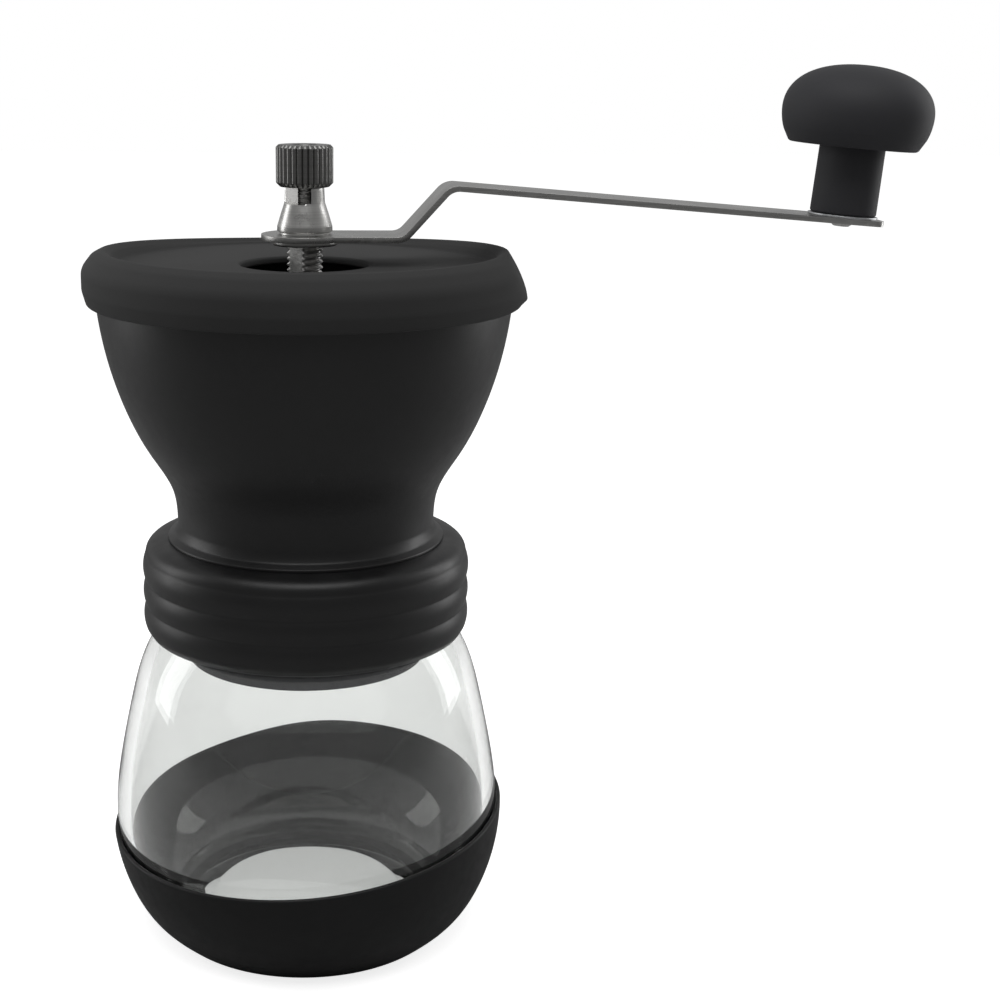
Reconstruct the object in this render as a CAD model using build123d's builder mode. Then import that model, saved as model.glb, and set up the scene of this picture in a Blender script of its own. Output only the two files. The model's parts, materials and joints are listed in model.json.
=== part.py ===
from build123d import *
import math
import os

# Hand crank coffee grinder: a glass jar in a silicone boot, a screw-on head with a bean hopper
# and a conical burr set, and a crank on top.  Millimetres, +Z up.  The origin is on the shaft's
# axis at table level, and the crank arm points along +X.  Heights are above the table.

# --- Jar and boot -----------------------------------------------------------------------------
boot_floor = 1.4              # silicone under the glass
boot_wall = 1.15
boot_foot_radius = 33.1
boot_hole_radius = 26.0       # round window in the boot's floor
boot_rim_height = 28.0        # height of the rim's plane on the axis
boot_rim_tilt = 5.2           # degrees, the boot is cut on a slant
boot_rim_high_side = 30.0     # degrees from +X, where the rim is highest
glass_wall = 3.0
glass_floor = 8.0             # top of the jar's thick glass floor
glass_belly = [               # outside of the jar, radius and height, from the foot to the neck
    (32.0, 1.4), (37.3, 5.6), (41.3, 12.5), (43.8, 20.5), (44.8, 30.0),
    (43.2, 44.0), (40.7, 56.0), (37.0, 68.0), (34.2, 73.0),
]
neck_radius = 32.4
neck_bore = 29.4
neck_base = 75.2
mouth = 88.0                  # top of the glass

# --- Screw thread between jar and head --------------------------------------------------------
thread_lead = 5.0
thread_turns = 1.2
thread_start = 78.0           # height of the glass ridge's centre where it begins
ridge_height = 1.2
ridge_width = 1.8
collar_ridge_turns = 0.6
ridge_root = 0.5              # how far a ridge is sunk into its wall

# --- Collar -----------------------------------------------------------------------------------
collar_bore = 34.1
collar_radius = 36.7          # at the grooves
collar_bulge = 0.55
collar_bottom = 72.8
collar_ribs_bottom = 74.2
collar_ribs = 3
rib_pitch = 5.6
collar_roof = 91.0            # underside of the roof
collar_top = 94.6
collar_hole = 28.4

# --- Hopper -----------------------------------------------------------------------------------
hopper_wall = 2.2
hopper_skin = [               # outside of the bowl, from the neck's base to the rim
    (29.1, 97.2), (30.1, 106.0), (35.2, 115.0), (40.2, 125.0), (43.5, 135.0),
    (45.5, 145.0), (46.5, 154.5),
]
spigot_radius = 28.3          # tube of the hopper that reaches down into the jar
spigot_bottom = 80.0
spigot_floor = 84.0
spigot_bore = 25.0
ledge_height = 96.0           # step that the bearing bridge rests on
ledge_bore = 26.6
flange_radius = 31.4

# --- Burr set ---------------------------------------------------------------------------------
holder_radius = 27.0
holder_bottom = 66.0
holder_lip_radius = 18.0
burr_seat = 69.0
burr_ring_radius = 19.0
burr_ring_top = 85.0
burr_throat = 12.3
cone_bottom = 67.3
cone_top = 87.5
cone_foot_radius = 16.7
cone_head_radius = 8.0
screw_circle = 23.0
screw_radius = 1.3
screw_head_radius = 2.6
screw_turn = 30.0
burr_gap = 0.6                # level gap between the burrs at the foot of the cones
outer_flutes = 16
inner_flutes = 10

# --- Bearing bridge and bushes ----------------------------------------------------------------
tower_radius = 8.5
tower_top = 118.0
bridge_ring_height = 5.0
bridge_arm_width = 6.0
bridge_arms = 3
bush_radius = 6.0
bush_length = 6.0
adjuster_radius = 10.5
adjuster_height = 7.0
adjuster_scallops = 12

# --- Shaft ------------------------------------------------------------------------------------
shaft_radius = 4.0
running_gap = 0.05
shaft_bottom = 60.0
tail_radius = 2.95            # M6 tail that carries the burr's nut
tail_top = 67.3
burr_washer_radius = 8.0
burr_washer_thickness = 0.9
burr_nut_flats = 10.0
burr_nut_height = 5.0
flats_bottom = 119.6
shaft_shoulder = 164.9        # top of the M8 part
flat_half_width = 2.83        # half of the width across the two milled flats
flat_turn = 43.0              # degrees from +X to a flat's normal
stud_radius = 2.45            # M5 stud that carries the thumb nut
shaft_top = 181.4
spring_wire = 1.2
spring_radius = 6.4
spring_turns = 3.0

# --- Crank ------------------------------------------------------------------------------------
arm_width = 15.0
arm_thickness = 1.25
arm_base = 161.7              # underside of the arm at the hub
arm_rise_start = 21.4         # centre line corners, distances from the axis
arm_rise_end = 31.6
arm_shoulder = 173.5
arm_slope = 4.6               # degrees, the outer arm falls away from the hub
arm_length = 128.4
arm_bend_radius = 4.0
eye_radius = 9.6
ferrule_foot_radius = 6.1
ferrule_neck_radius = 4.4
ferrule_top = 173.2
thumb_nut_radius = 6.3
thumb_nut_top = 182.2
knurls = 30
slot_turn = -92.0             # degrees from +X to the slot across the ferrule's neck

# --- Knob -------------------------------------------------------------------------------------
knob_reach = 120.5
knob_stem_radius = 7.3
knob_stem_length = 15.4      # from the arm to the cap
knob_cap_radius = 16.5
knob_cap_foot_radius = 14.05
knob_cap_height = 17.7
knob_cap_waist = 7.5          # height of the widest point above the cap's underside
knob_dome_fullness = 0.62     # 0.55 gives a quarter of an ellipse, more is boxier
rivet_radius = 2.0
rivet_reach = 9.0             # the rivet's upper head starts this far above the arm
knob_spigot_radius = 5.5
knob_spigot_length = 4.0
lean = math.radians(arm_slope)
knob_up = (math.sin(lean), 0, math.cos(lean))
knob_side = (math.cos(lean), 0, -math.sin(lean))
knob_base = (                 # where the knob's axis meets the arm's upper face
    knob_reach + arm_thickness / 2 * math.sin(lean),
    0,
    arm_shoulder - (knob_reach - arm_rise_end) * math.tan(lean)
    + arm_thickness / 2 * math.cos(lean),
)

# --- Lid --------------------------------------------------------------------------------------
lid_hole_radius = 14.2
lid_panel_top = 156.4
lid_panel_thickness = 1.7
lid_rim_top = 160.0
lid_radius = 48.8
lid_bottom = 148.2
lid_plug_radius = 43.5        # ring under the panel that centres the lid
lid_rim_inner = 41.6
lip_turn = -2.0                # degrees from +X to the lift lip
lip_arc = 60.0
lip_reach = 0.6


def beside(points, distance):
    """Outline moved sideways, to the left of the way it runs, by distance at each point."""
    moved = []
    for i, (r, z) in enumerate(points):
        before = points[max(i - 1, 0)]
        after = points[min(i + 1, len(points) - 1)]
        dr, dz = after[0] - before[0], after[1] - before[1]
        length = math.hypot(dr, dz)
        moved.append((r - distance * dz / length, z + distance * dr / length))
    return moved


def double_d(radius, half_width):
    """Round section with the shaft's two milled flats."""
    with BuildSketch(mode=Mode.PRIVATE) as section:
        Circle(radius)
        Rectangle(2 * half_width, 2 * radius, rotation=flat_turn, mode=Mode.INTERSECT)
    return section.sketch


def level(height):
    """Horizontal sketch plane at a height."""
    return Plane.XY.offset(height)


# --- Glass jar --------------------------------------------------------------------------------
with BuildPart() as glass_blank:
    with BuildSketch(Plane.XZ):
        with BuildLine():
            foot = Line((0, boot_floor), glass_belly[0])
            belly = Spline(*glass_belly)
            shoulder = TangentArc(belly @ 1, (neck_radius, neck_base), tangent=belly % 1)
            Polyline(shoulder @ 1, (neck_radius, mouth), (0, mouth), foot @ 0)
        make_face()
    revolve(axis=Axis.Z)

inside_wall = beside(glass_belly[3:], glass_wall)
with BuildPart() as glass_jar:
    add(glass_blank.part)
    with BuildSketch(Plane.XZ):
        with BuildLine():
            floor = Line((0, glass_floor), (27.0, glass_floor))
            wall = Spline(floor @ 1, (33.4, 9.6), (37.3, 13.6), *inside_wall)
            Polyline(wall @ 1, (neck_bore, neck_base + 2.0), (neck_bore, mouth + 1.0))
            Polyline((neck_bore, mouth + 1.0), (0, mouth + 1.0), floor @ 0)
        make_face()
    revolve(axis=Axis.Z, mode=Mode.SUBTRACT)
    lip = glass_jar.edges().filter_by(GeomType.CIRCLE).group_by(Axis.Z)[-1]
    fillet(lip, 1.1)
    with BuildLine():
        glass_helix = Helix(
            pitch=thread_lead, height=thread_lead * thread_turns,
            radius=neck_radius, center=(0, 0, thread_start),
        )
    with BuildSketch(Plane(glass_helix @ 0, x_dir=(1, 0, 0), z_dir=glass_helix % 0)):
        with Locations((ridge_height / 2 - ridge_root / 2, 0)):
            Rectangle(ridge_height + ridge_root, ridge_width)
    sweep(path=glass_helix, is_frenet=True)


# --- Silicone boot ----------------------------------------------------------------------------
boot_skin = [(boot_foot_radius, 0)] + beside(glass_belly, -boot_wall)[1:6]
tilt = math.radians(boot_rim_tilt)
side = math.radians(boot_rim_high_side)
rim_normal = (-math.sin(tilt) * math.cos(side), -math.sin(tilt) * math.sin(side), math.cos(tilt))
rim_plane = Plane(origin=(0, 0, boot_rim_height), z_dir=rim_normal)
with BuildPart() as silicone_boot:
    with BuildSketch(Plane.XZ):
        with BuildLine():
            Line((0, 0), boot_skin[0])
            skin = Spline(*boot_skin)
            Polyline(skin @ 1, (0, boot_skin[-1][1]), (0, 0))
        make_face()
    revolve(axis=Axis.Z)
    add(glass_blank.part, mode=Mode.SUBTRACT)
    with BuildSketch(level(0)):
        Circle(boot_hole_radius)
    extrude(amount=boot_floor, mode=Mode.SUBTRACT)
    split(bisect_by=rim_plane, keep=Keep.BOTTOM)


# --- Jar seal ---------------------------------------------------------------------------------
with BuildPart() as jar_seal:
    with BuildSketch(level(mouth + 0.02)):
        Circle(neck_radius + 1.2)
        Circle(neck_bore + 0.1, mode=Mode.SUBTRACT)
    extrude(amount=collar_roof - mouth - 0.04)
    fillet(jar_seal.edges().group_by(Axis.Z)[-1], 0.5)


# --- Screw collar -----------------------------------------------------------------------------
ribs_top = collar_ribs_bottom + collar_ribs * rib_pitch
with BuildPart() as screw_collar:
    with BuildSketch(Plane.XZ):
        with BuildLine():
            Polyline(
                (collar_hole, collar_top), (collar_hole, collar_roof), (collar_bore, collar_roof),
                (collar_bore, collar_bottom + 1.2), (collar_bore + 1.0, collar_bottom),
                (collar_radius - 0.9, collar_bottom),
                (collar_radius, collar_ribs_bottom),
            )
            for rib in range(collar_ribs):
                low = collar_ribs_bottom + rib * rib_pitch
                ThreePointArc(
                    (collar_radius, low),
                    (collar_radius + collar_bulge, low + rib_pitch / 2),
                    (collar_radius, low + rib_pitch),
                )
            ThreePointArc(
                (collar_radius, ribs_top), (collar_radius - 1.1, collar_top - 1.0),
                (collar_radius - 3.6, collar_top),
            )
            Line((collar_radius - 3.6, collar_top), (collar_hole, collar_top))
        make_face()
    revolve(axis=Axis.Z)
    with BuildLine():
        collar_helix = Helix(
            pitch=thread_lead, height=thread_lead * collar_ridge_turns,
            radius=collar_bore, center=(0, 0, thread_start - thread_lead / 2),
        )
    with BuildSketch(Plane(collar_helix @ 0, x_dir=(-1, 0, 0), z_dir=collar_helix % 0)):
        with Locations((ridge_height / 2 - ridge_root / 2, 0)):
            Rectangle(ridge_height + ridge_root, ridge_width)
    sweep(path=collar_helix, is_frenet=True)


# --- Hopper -----------------------------------------------------------------------------------
hopper_inside = beside(hopper_skin, hopper_wall)
with BuildPart() as hopper:
    with BuildSketch(Plane.XZ):
        with BuildLine():
            spigot = Polyline(
                (holder_lip_radius + 1.6, spigot_bottom), (spigot_radius, spigot_bottom),
                (spigot_radius, collar_top), (flange_radius, collar_top),
                (flange_radius, collar_top + 0.6),
            )
            flare = Spline(
                (flange_radius, collar_top + 0.6), hopper_skin[0], tangents=[(-1, 0.4), (0, 1)],
            )
            skin = Spline(*hopper_skin)
            rim = Line(skin @ 1, (hopper_inside[-1][0], hopper_skin[-1][1]))
            bowl = Spline(rim @ 1, *reversed(hopper_inside[1:-1]), (ledge_bore, ledge_height + 5.0))
            Polyline(
                bowl @ 1, (ledge_bore, ledge_height), (spigot_bore, ledge_height),
                (spigot_bore, spigot_floor + 2.0), (spigot_bore - 2.0, spigot_floor),
                (holder_lip_radius + 1.6, spigot_floor), spigot @ 0,
            )
        make_face()
    revolve(axis=Axis.Z)
    with BuildSketch(level(spigot_bottom)):
        with PolarLocations(screw_circle, 3, start_angle=screw_turn):
            Circle(screw_radius)
    extrude(amount=spigot_floor - spigot_bottom - 0.6, mode=Mode.SUBTRACT)


# --- Bearing bridge: ring, three arms and the tower that holds the bushes ---------------------
with BuildPart() as bearing_bridge:
    with BuildSketch(level(ledge_height)):
        Circle(ledge_bore)
        Circle(ledge_bore - 2.0, mode=Mode.SUBTRACT)
    extrude(amount=bridge_ring_height)
    with BuildSketch(level(ledge_height)):
        Circle(tower_radius)
    extrude(amount=tower_top - ledge_height, taper=2.0)
    with BuildSketch(level(ledge_height)):
        with PolarLocations(0, bridge_arms, start_angle=90):
            with Locations((ledge_bore / 2 - 0.5, 0)):
                Rectangle(ledge_bore - 1.0, bridge_arm_width)
    extrude(amount=bridge_ring_height)
    with BuildSketch(level(ledge_height)):
        Circle(shaft_radius + 0.6)
    extrude(amount=tower_top - ledge_height, mode=Mode.SUBTRACT)
    for bush_base in (ledge_height, tower_top - bush_length):
        with BuildSketch(level(bush_base)):
            Circle(bush_radius)
        extrude(amount=bush_length, mode=Mode.SUBTRACT)


# --- Bushes -----------------------------------------------------------------------------------
with BuildPart() as lower_bush:
    with BuildSketch(level(ledge_height)):
        Circle(bush_radius)
        Circle(shaft_radius + running_gap, mode=Mode.SUBTRACT)
    extrude(amount=bush_length)

with BuildPart() as upper_bush:
    with BuildSketch(level(tower_top - bush_length)):
        Circle(bush_radius)
        Circle(shaft_radius + running_gap, mode=Mode.SUBTRACT)
    extrude(amount=bush_length)


# --- Burr holder and its screws ---------------------------------------------------------------
with BuildPart() as burr_holder:
    with BuildSketch(level(holder_bottom)):
        Circle(holder_radius)
        Circle(holder_lip_radius, mode=Mode.SUBTRACT)
    extrude(amount=spigot_bottom - holder_bottom)
    fillet(burr_holder.edges().group_by(Axis.Z)[0].sort_by(SortBy.LENGTH)[-1], 0.8)
    with BuildSketch(level(burr_seat)):
        Circle(burr_ring_radius + 0.02)
    extrude(amount=spigot_bottom - burr_seat, mode=Mode.SUBTRACT)
    with Locations(Location((0, 0, holder_bottom), (180, 0, 0))):
        with PolarLocations(screw_circle, 3, start_angle=-screw_turn):
            CounterBoreHole(screw_radius + 0.2, screw_head_radius + 0.2, 2.4)

with BuildPart() as holder_screws:
    with BuildSketch(level(holder_bottom + 0.7)):
        with PolarLocations(screw_circle, 3, start_angle=screw_turn):
            Circle(screw_head_radius)
    extrude(amount=1.7)
    with BuildSketch(level(holder_bottom + 2.3)):
        with PolarLocations(screw_circle, 3, start_angle=screw_turn):
            Circle(screw_radius - 0.02)
    extrude(amount=14.6)
    with BuildSketch(level(holder_bottom + 0.7)):
        with PolarLocations(screw_circle, 3, start_angle=screw_turn):
            Rectangle(3.0, 0.7)
            Rectangle(0.7, 3.0)
    extrude(amount=0.9, mode=Mode.SUBTRACT)


# --- Outer burr: ceramic ring with a fluted conical bore --------------------------------------
with BuildPart() as outer_burr:
    with BuildSketch(Plane.XZ):
        with BuildLine():
            Polyline(
                (cone_foot_radius + burr_gap, burr_seat), (burr_ring_radius, burr_seat),
                (burr_ring_radius, burr_ring_top), (burr_ring_radius - 2.0, burr_ring_top),
                (burr_throat, burr_ring_top - 5.0), close=True,
            )
        make_face()
    revolve(axis=Axis.Z)
    with BuildSketch(level(burr_seat + 4.0)):
        with PolarLocations(burr_throat + 1.0, outer_flutes):
            Rectangle(3.4, 1.3, rotation=35)
    extrude(amount=burr_ring_top, mode=Mode.SUBTRACT)


# --- Drive shaft ------------------------------------------------------------------------------
with BuildPart() as drive_shaft:
    with BuildSketch(level(shaft_bottom)):
        Circle(tail_radius)
    extrude(amount=tail_top - shaft_bottom)
    with BuildSketch(level(tail_top)):
        Circle(shaft_radius)
    extrude(amount=flats_bottom - tail_top)
    with BuildSketch(level(flats_bottom)):
        add(double_d(shaft_radius, flat_half_width))
    extrude(amount=shaft_shoulder - flats_bottom)
    with BuildSketch(level(shaft_shoulder)):
        Circle(stud_radius)
    extrude(amount=shaft_top - shaft_shoulder)
    ends = drive_shaft.edges().filter_by(GeomType.CIRCLE).group_by(Axis.Z)
    chamfer([*ends[0], *ends[-1]], 0.5)


# --- Inner burr: ceramic cone with slanting flutes --------------------------------------------
with BuildPart() as inner_burr:
    with BuildSketch(Plane.XZ):
        with BuildLine():
            Polyline(
                (shaft_radius + running_gap, cone_bottom), (cone_foot_radius - 0.6, cone_bottom),
                (cone_foot_radius, cone_bottom + 1.0), (cone_head_radius, cone_top - 1.0),
                (cone_head_radius - 1.2, cone_top), (shaft_radius + running_gap, cone_top),
                close=True,
            )
        make_face()
    revolve(axis=Axis.Z)
    with BuildSketch(level(cone_bottom + 5.0)):
        with PolarLocations(cone_head_radius + 2.6, inner_flutes):
            Rectangle(4.6, 1.6, rotation=-40)
    extrude(amount=cone_top, mode=Mode.SUBTRACT)


# --- Spring, its seat, and the nut under the burr ---------------------------------------------
seat_top = cone_top + 1.4
with BuildPart() as spring_seat:
    with BuildSketch(level(cone_top)):
        Circle(spring_radius + 1.2)
        Circle(shaft_radius, mode=Mode.SUBTRACT)
    extrude(amount=seat_top - cone_top)

spring_bottom = seat_top + spring_wire / 2 + 0.02
spring_rise = ledge_height - seat_top - spring_wire - 0.1
with BuildPart() as burr_spring:
    with BuildLine():
        coil = Helix(
            pitch=spring_rise / spring_turns, height=spring_rise,
            radius=spring_radius, center=(0, 0, spring_bottom),
        )
    with BuildSketch(Plane(coil @ 0, x_dir=(1, 0, 0), z_dir=coil % 0)):
        Circle(spring_wire / 2)
    sweep(path=coil, is_frenet=True)

with BuildPart() as burr_washer:
    with BuildSketch(level(tail_top - burr_washer_thickness)):
        Circle(burr_washer_radius)
        Circle(tail_radius, mode=Mode.SUBTRACT)
    extrude(amount=burr_washer_thickness)

with BuildPart() as burr_nut:
    with BuildSketch(level(tail_top - burr_washer_thickness - burr_nut_height)):
        RegularPolygon(burr_nut_flats / 2, 6, major_radius=False)
        Circle(tail_radius, mode=Mode.SUBTRACT)
    extrude(amount=burr_nut_height)
    chamfer(burr_nut.edges().filter_by(GeomType.CIRCLE).group_by(Axis.Z)[0], 0.3)


# --- Grind adjuster: thrust washer, scalloped nut and the keyed lock washer -------------------
with BuildPart() as thrust_washer:
    with BuildSketch(level(tower_top + 0.05)):
        Circle(tower_radius - 0.8)
        Circle(shaft_radius + running_gap, mode=Mode.SUBTRACT)
    extrude(amount=1.0)

nut_base = tower_top + 1.1
with BuildPart() as adjusting_nut:
    with BuildSketch(level(nut_base)):
        Circle(adjuster_radius)
        with PolarLocations(adjuster_radius + 0.6, adjuster_scallops):
            Circle(1.5, mode=Mode.SUBTRACT)
        Circle(shaft_radius + running_gap, mode=Mode.SUBTRACT)
    extrude(amount=adjuster_height)

with BuildPart() as lock_washer:
    with BuildSketch(level(nut_base + adjuster_height + 0.05)):
        Circle(adjuster_radius - 1.5)
        with PolarLocations(adjuster_radius - 1.5, 4):
            Rectangle(3.0, 3.0)
        add(double_d(shaft_radius + running_gap, flat_half_width + running_gap), mode=Mode.SUBTRACT)
    extrude(amount=1.2)


# --- Hopper lid: soft disc with a rolled rim, a skirt and a lift lip --------------------------
panel_bottom = lid_panel_top - lid_panel_thickness
seat_radius = hopper_skin[-1][0] + 0.4
with BuildPart() as hopper_lid:
    with BuildSketch(Plane.XZ):
        with BuildLine():
            inner_face = Polyline(
                (lid_radius - 1.2, lid_bottom), (seat_radius, lid_bottom),
                (seat_radius, panel_bottom), (lid_plug_radius, panel_bottom),
                (lid_plug_radius, panel_bottom - 3.4), (lid_plug_radius - 1.4, panel_bottom - 3.4),
                (lid_plug_radius - 1.4, panel_bottom), (lid_hole_radius, panel_bottom),
                (lid_hole_radius, lid_panel_top), (lid_rim_inner, lid_panel_top),
                (lid_rim_inner + 0.6, lid_rim_top - 1.2),
            )
            roll = ThreePointArc(
                inner_face @ 1, (lid_rim_inner + 2.2, lid_rim_top), (lid_radius - 2.4, lid_rim_top - 1.8),
            )
            ThreePointArc(
                roll @ 1, (lid_radius, (lid_bottom + lid_rim_top) / 2 - 1.2), inner_face @ 0,
            )
        make_face()
    revolve(axis=Axis.Z)
    with BuildSketch(Plane.XZ.rotated((0, 0, lip_turn - lip_arc / 2))):
        with BuildLine():
            Polyline(
                (seat_radius, lid_bottom), (lid_radius - 0.4, lid_bottom),
                (lid_radius + lip_reach, lid_bottom + 1.4), (lid_radius - 1.2, lid_rim_top - 3.2),
                (seat_radius, lid_rim_top - 4.0), close=True,
            )
        make_face()
    revolve(axis=Axis.Z, revolution_arc=lip_arc)


# --- Crank arm: bent strip with a round eye ---------------------------------------------------
arm_mid = arm_base + arm_thickness / 2
drop = math.tan(math.radians(arm_slope))
arm_tip = (arm_length, arm_shoulder - (arm_length - arm_rise_end) * drop)
with BuildPart() as crank_arm:
    with BuildLine(Plane.XZ) as arm_path:
        FilletPolyline(
            (0, arm_mid), (arm_rise_start, arm_mid), (arm_rise_end, arm_shoulder), arm_tip,
            radius=arm_bend_radius,
        )
    with BuildSketch(Plane((0, 0, arm_mid), x_dir=(0, 1, 0), z_dir=(1, 0, 0))):
        Rectangle(arm_width, arm_thickness)
    sweep(path=arm_path.line)
    with BuildSketch(level(arm_base)):
        Circle(eye_radius)
    extrude(amount=arm_thickness)
    with BuildSketch(level(arm_base)):
        add(double_d(shaft_radius + running_gap, flat_half_width + running_gap))
    extrude(amount=arm_thickness, mode=Mode.SUBTRACT)
    with BuildSketch(Plane(knob_base, z_dir=knob_up).offset(-2 * arm_thickness)):
        Circle(rivet_radius)
    extrude(amount=3 * arm_thickness, mode=Mode.SUBTRACT)


# --- Hub: washer under the arm, ferrule above it, thumb nut on top ----------------------------
with BuildPart() as hub_washer:
    with BuildSketch(level(arm_base - 1.1)):
        Circle(7.3)
        add(double_d(shaft_radius + running_gap, flat_half_width + running_gap), mode=Mode.SUBTRACT)
    extrude(amount=1.1)

ferrule_base = arm_base + arm_thickness
with BuildPart() as crank_ferrule:
    with BuildSketch(Plane.XZ):
        with BuildLine():
            Polyline(
                (stud_radius + running_gap, ferrule_base), (ferrule_foot_radius - 0.3, ferrule_base),
                (ferrule_foot_radius - 0.3, ferrule_base + 0.4),
                (ferrule_foot_radius, ferrule_base + 0.6), (ferrule_foot_radius, ferrule_base + 2.0),
                (ferrule_neck_radius, ferrule_top - 3.5), (ferrule_neck_radius, ferrule_top),
                (stud_radius + running_gap, ferrule_top), close=True,
            )
        make_face()
    revolve(axis=Axis.Z)
    with BuildSketch(level(ferrule_base)):
        add(double_d(shaft_radius + running_gap, flat_half_width + running_gap))
    extrude(amount=shaft_shoulder - ferrule_base + 0.1, mode=Mode.SUBTRACT)
    with BuildSketch(level(ferrule_top - 3.4)):
        Rectangle(2 * ferrule_foot_radius, 2.9, rotation=slot_turn)
    extrude(amount=3.4, mode=Mode.SUBTRACT)

with BuildPart() as thumb_nut:
    with BuildSketch(level(ferrule_top)):
        Circle(thumb_nut_radius)
    extrude(amount=thumb_nut_top - ferrule_top)
    chamfer(thumb_nut.edges().group_by(Axis.Z)[0], 0.9)
    chamfer(thumb_nut.edges().group_by(Axis.Z)[-1], 0.6)
    with BuildSketch(level(ferrule_top)):
        with PolarLocations(thumb_nut_radius + 0.15, knurls):
            Circle(0.4)
    extrude(amount=thumb_nut_top - ferrule_top, mode=Mode.SUBTRACT)
    with BuildSketch(level(ferrule_top)):
        Circle(stud_radius + running_gap)
    extrude(amount=thumb_nut_top - ferrule_top, mode=Mode.SUBTRACT)


# --- Knob: rivet, washer, stem and cap, on an axis square to the outer arm --------------------
def knob_level(height):
    """Sketch plane square to the knob's axis, at a height above the arm's upper face."""
    return Plane(knob_base, z_dir=knob_up).offset(height)


with BuildPart() as knob_pin:
    with BuildSketch(knob_level(-arm_thickness)):
        Circle(rivet_radius)
    extrude(amount=arm_thickness + rivet_reach)
    with BuildSketch(knob_level(-arm_thickness)):
        Circle(rivet_radius + 0.7)
    extrude(amount=-1.0, taper=35)
    with BuildSketch(knob_level(rivet_reach)):
        Circle(rivet_radius + 1.2)
    extrude(amount=1.4)

with BuildPart() as knob_washer:
    with BuildSketch(knob_level(0)):
        Circle(knob_stem_radius + 0.4)
        Circle(rivet_radius, mode=Mode.SUBTRACT)
    extrude(amount=0.5)

with BuildPart() as knob_stem:
    with BuildSketch(knob_level(0.6)):
        Circle(knob_stem_radius)
    extrude(amount=knob_stem_length - 0.6)
    with BuildSketch(knob_level(knob_stem_length)):
        Circle(knob_spigot_radius)
    extrude(amount=knob_spigot_length)
    with BuildSketch(knob_level(0.6)):
        Circle(rivet_radius + running_gap)
    extrude(amount=knob_stem_length, mode=Mode.SUBTRACT)
    with BuildSketch(knob_level(rivet_reach - 0.1)):
        Circle(rivet_radius + 1.6)
    extrude(amount=knob_stem_length, mode=Mode.SUBTRACT)

cap_plane = Plane(knob_base, x_dir=knob_side, z_dir=(0, -1, 0))
cap_base = knob_stem_length
with BuildPart() as knob_cap:
    with BuildSketch(cap_plane):
        with BuildLine():
            under = Polyline(
                (0, cap_base + knob_spigot_length), (knob_spigot_radius, cap_base + knob_spigot_length),
                (knob_spigot_radius, cap_base), (knob_cap_foot_radius, cap_base),
            )
            waist = (knob_cap_radius, cap_base + knob_cap_waist)
            crown = cap_base + knob_cap_height
            TangentArc(waist, under @ 1, tangent=(0, -1))
            dome = Bezier(
                waist, (knob_cap_radius, waist[1] + knob_dome_fullness * (crown - waist[1])),
                (knob_dome_fullness * knob_cap_radius, crown), (0, crown),
            )
            Line(dome @ 1, under @ 0)
        make_face()
    revolve(axis=Axis(knob_base, knob_up))


# --- Write one file per piece -----------------------------------------------------------------
pieces = {
    "glass_jar": glass_jar, "silicone_boot": silicone_boot, "jar_seal": jar_seal,
    "screw_collar": screw_collar, "hopper": hopper, "bearing_bridge": bearing_bridge,
    "lower_bush": lower_bush, "upper_bush": upper_bush, "burr_holder": burr_holder,
    "holder_screws": holder_screws, "outer_burr": outer_burr, "drive_shaft": drive_shaft,
    "inner_burr": inner_burr, "spring_seat": spring_seat, "burr_spring": burr_spring,
    "burr_washer": burr_washer, "burr_nut": burr_nut, "thrust_washer": thrust_washer,
    "adjusting_nut": adjusting_nut, "lock_washer": lock_washer, "hopper_lid": hopper_lid,
    "crank_arm": crank_arm, "hub_washer": hub_washer, "crank_ferrule": crank_ferrule,
    "thumb_nut": thumb_nut, "knob_pin": knob_pin, "knob_washer": knob_washer,
    "knob_stem": knob_stem, "knob_cap": knob_cap,
}
os.makedirs("parts", exist_ok=True)
for node, piece in pieces.items():
    piece.part.label = node
    export_step(piece.part, f"parts/{node}.step")
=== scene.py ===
import json
import math

import bmesh
import bpy
import numpy as np
from bpy.props import FloatProperty, FloatVectorProperty, IntProperty, PointerProperty
from mathutils import Matrix, Vector

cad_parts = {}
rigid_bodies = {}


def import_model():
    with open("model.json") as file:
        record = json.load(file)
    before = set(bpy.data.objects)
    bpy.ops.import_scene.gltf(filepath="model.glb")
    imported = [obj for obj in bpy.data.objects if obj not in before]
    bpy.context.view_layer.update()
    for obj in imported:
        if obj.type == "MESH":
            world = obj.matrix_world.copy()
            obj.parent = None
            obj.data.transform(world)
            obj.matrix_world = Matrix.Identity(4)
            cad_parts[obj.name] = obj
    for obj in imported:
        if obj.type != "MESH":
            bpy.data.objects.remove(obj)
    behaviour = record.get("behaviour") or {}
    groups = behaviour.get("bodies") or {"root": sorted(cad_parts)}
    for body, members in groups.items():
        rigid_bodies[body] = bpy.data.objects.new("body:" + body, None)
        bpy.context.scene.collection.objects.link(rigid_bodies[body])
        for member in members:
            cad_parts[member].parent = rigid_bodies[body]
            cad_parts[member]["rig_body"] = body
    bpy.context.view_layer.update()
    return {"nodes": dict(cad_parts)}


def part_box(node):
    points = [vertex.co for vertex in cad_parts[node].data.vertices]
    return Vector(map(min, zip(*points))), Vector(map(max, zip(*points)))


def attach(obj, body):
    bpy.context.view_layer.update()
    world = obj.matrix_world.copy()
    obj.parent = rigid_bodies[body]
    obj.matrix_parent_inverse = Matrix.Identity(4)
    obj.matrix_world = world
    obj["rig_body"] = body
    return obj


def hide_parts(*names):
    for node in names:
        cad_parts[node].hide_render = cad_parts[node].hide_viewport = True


bl_info = {
    "name": "Hand crank coffee grinder",
    "version": (1, 0, 0),
    "blender": (4, 5, 0),
    "location": "3D View > Sidebar > Grinder",
    "description": "Builds the looks of a hand crank coffee grinder round its packed CAD frame",
    "category": "Object",
}

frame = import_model()
MM = 0.001
TURN = 2 * math.pi


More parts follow.
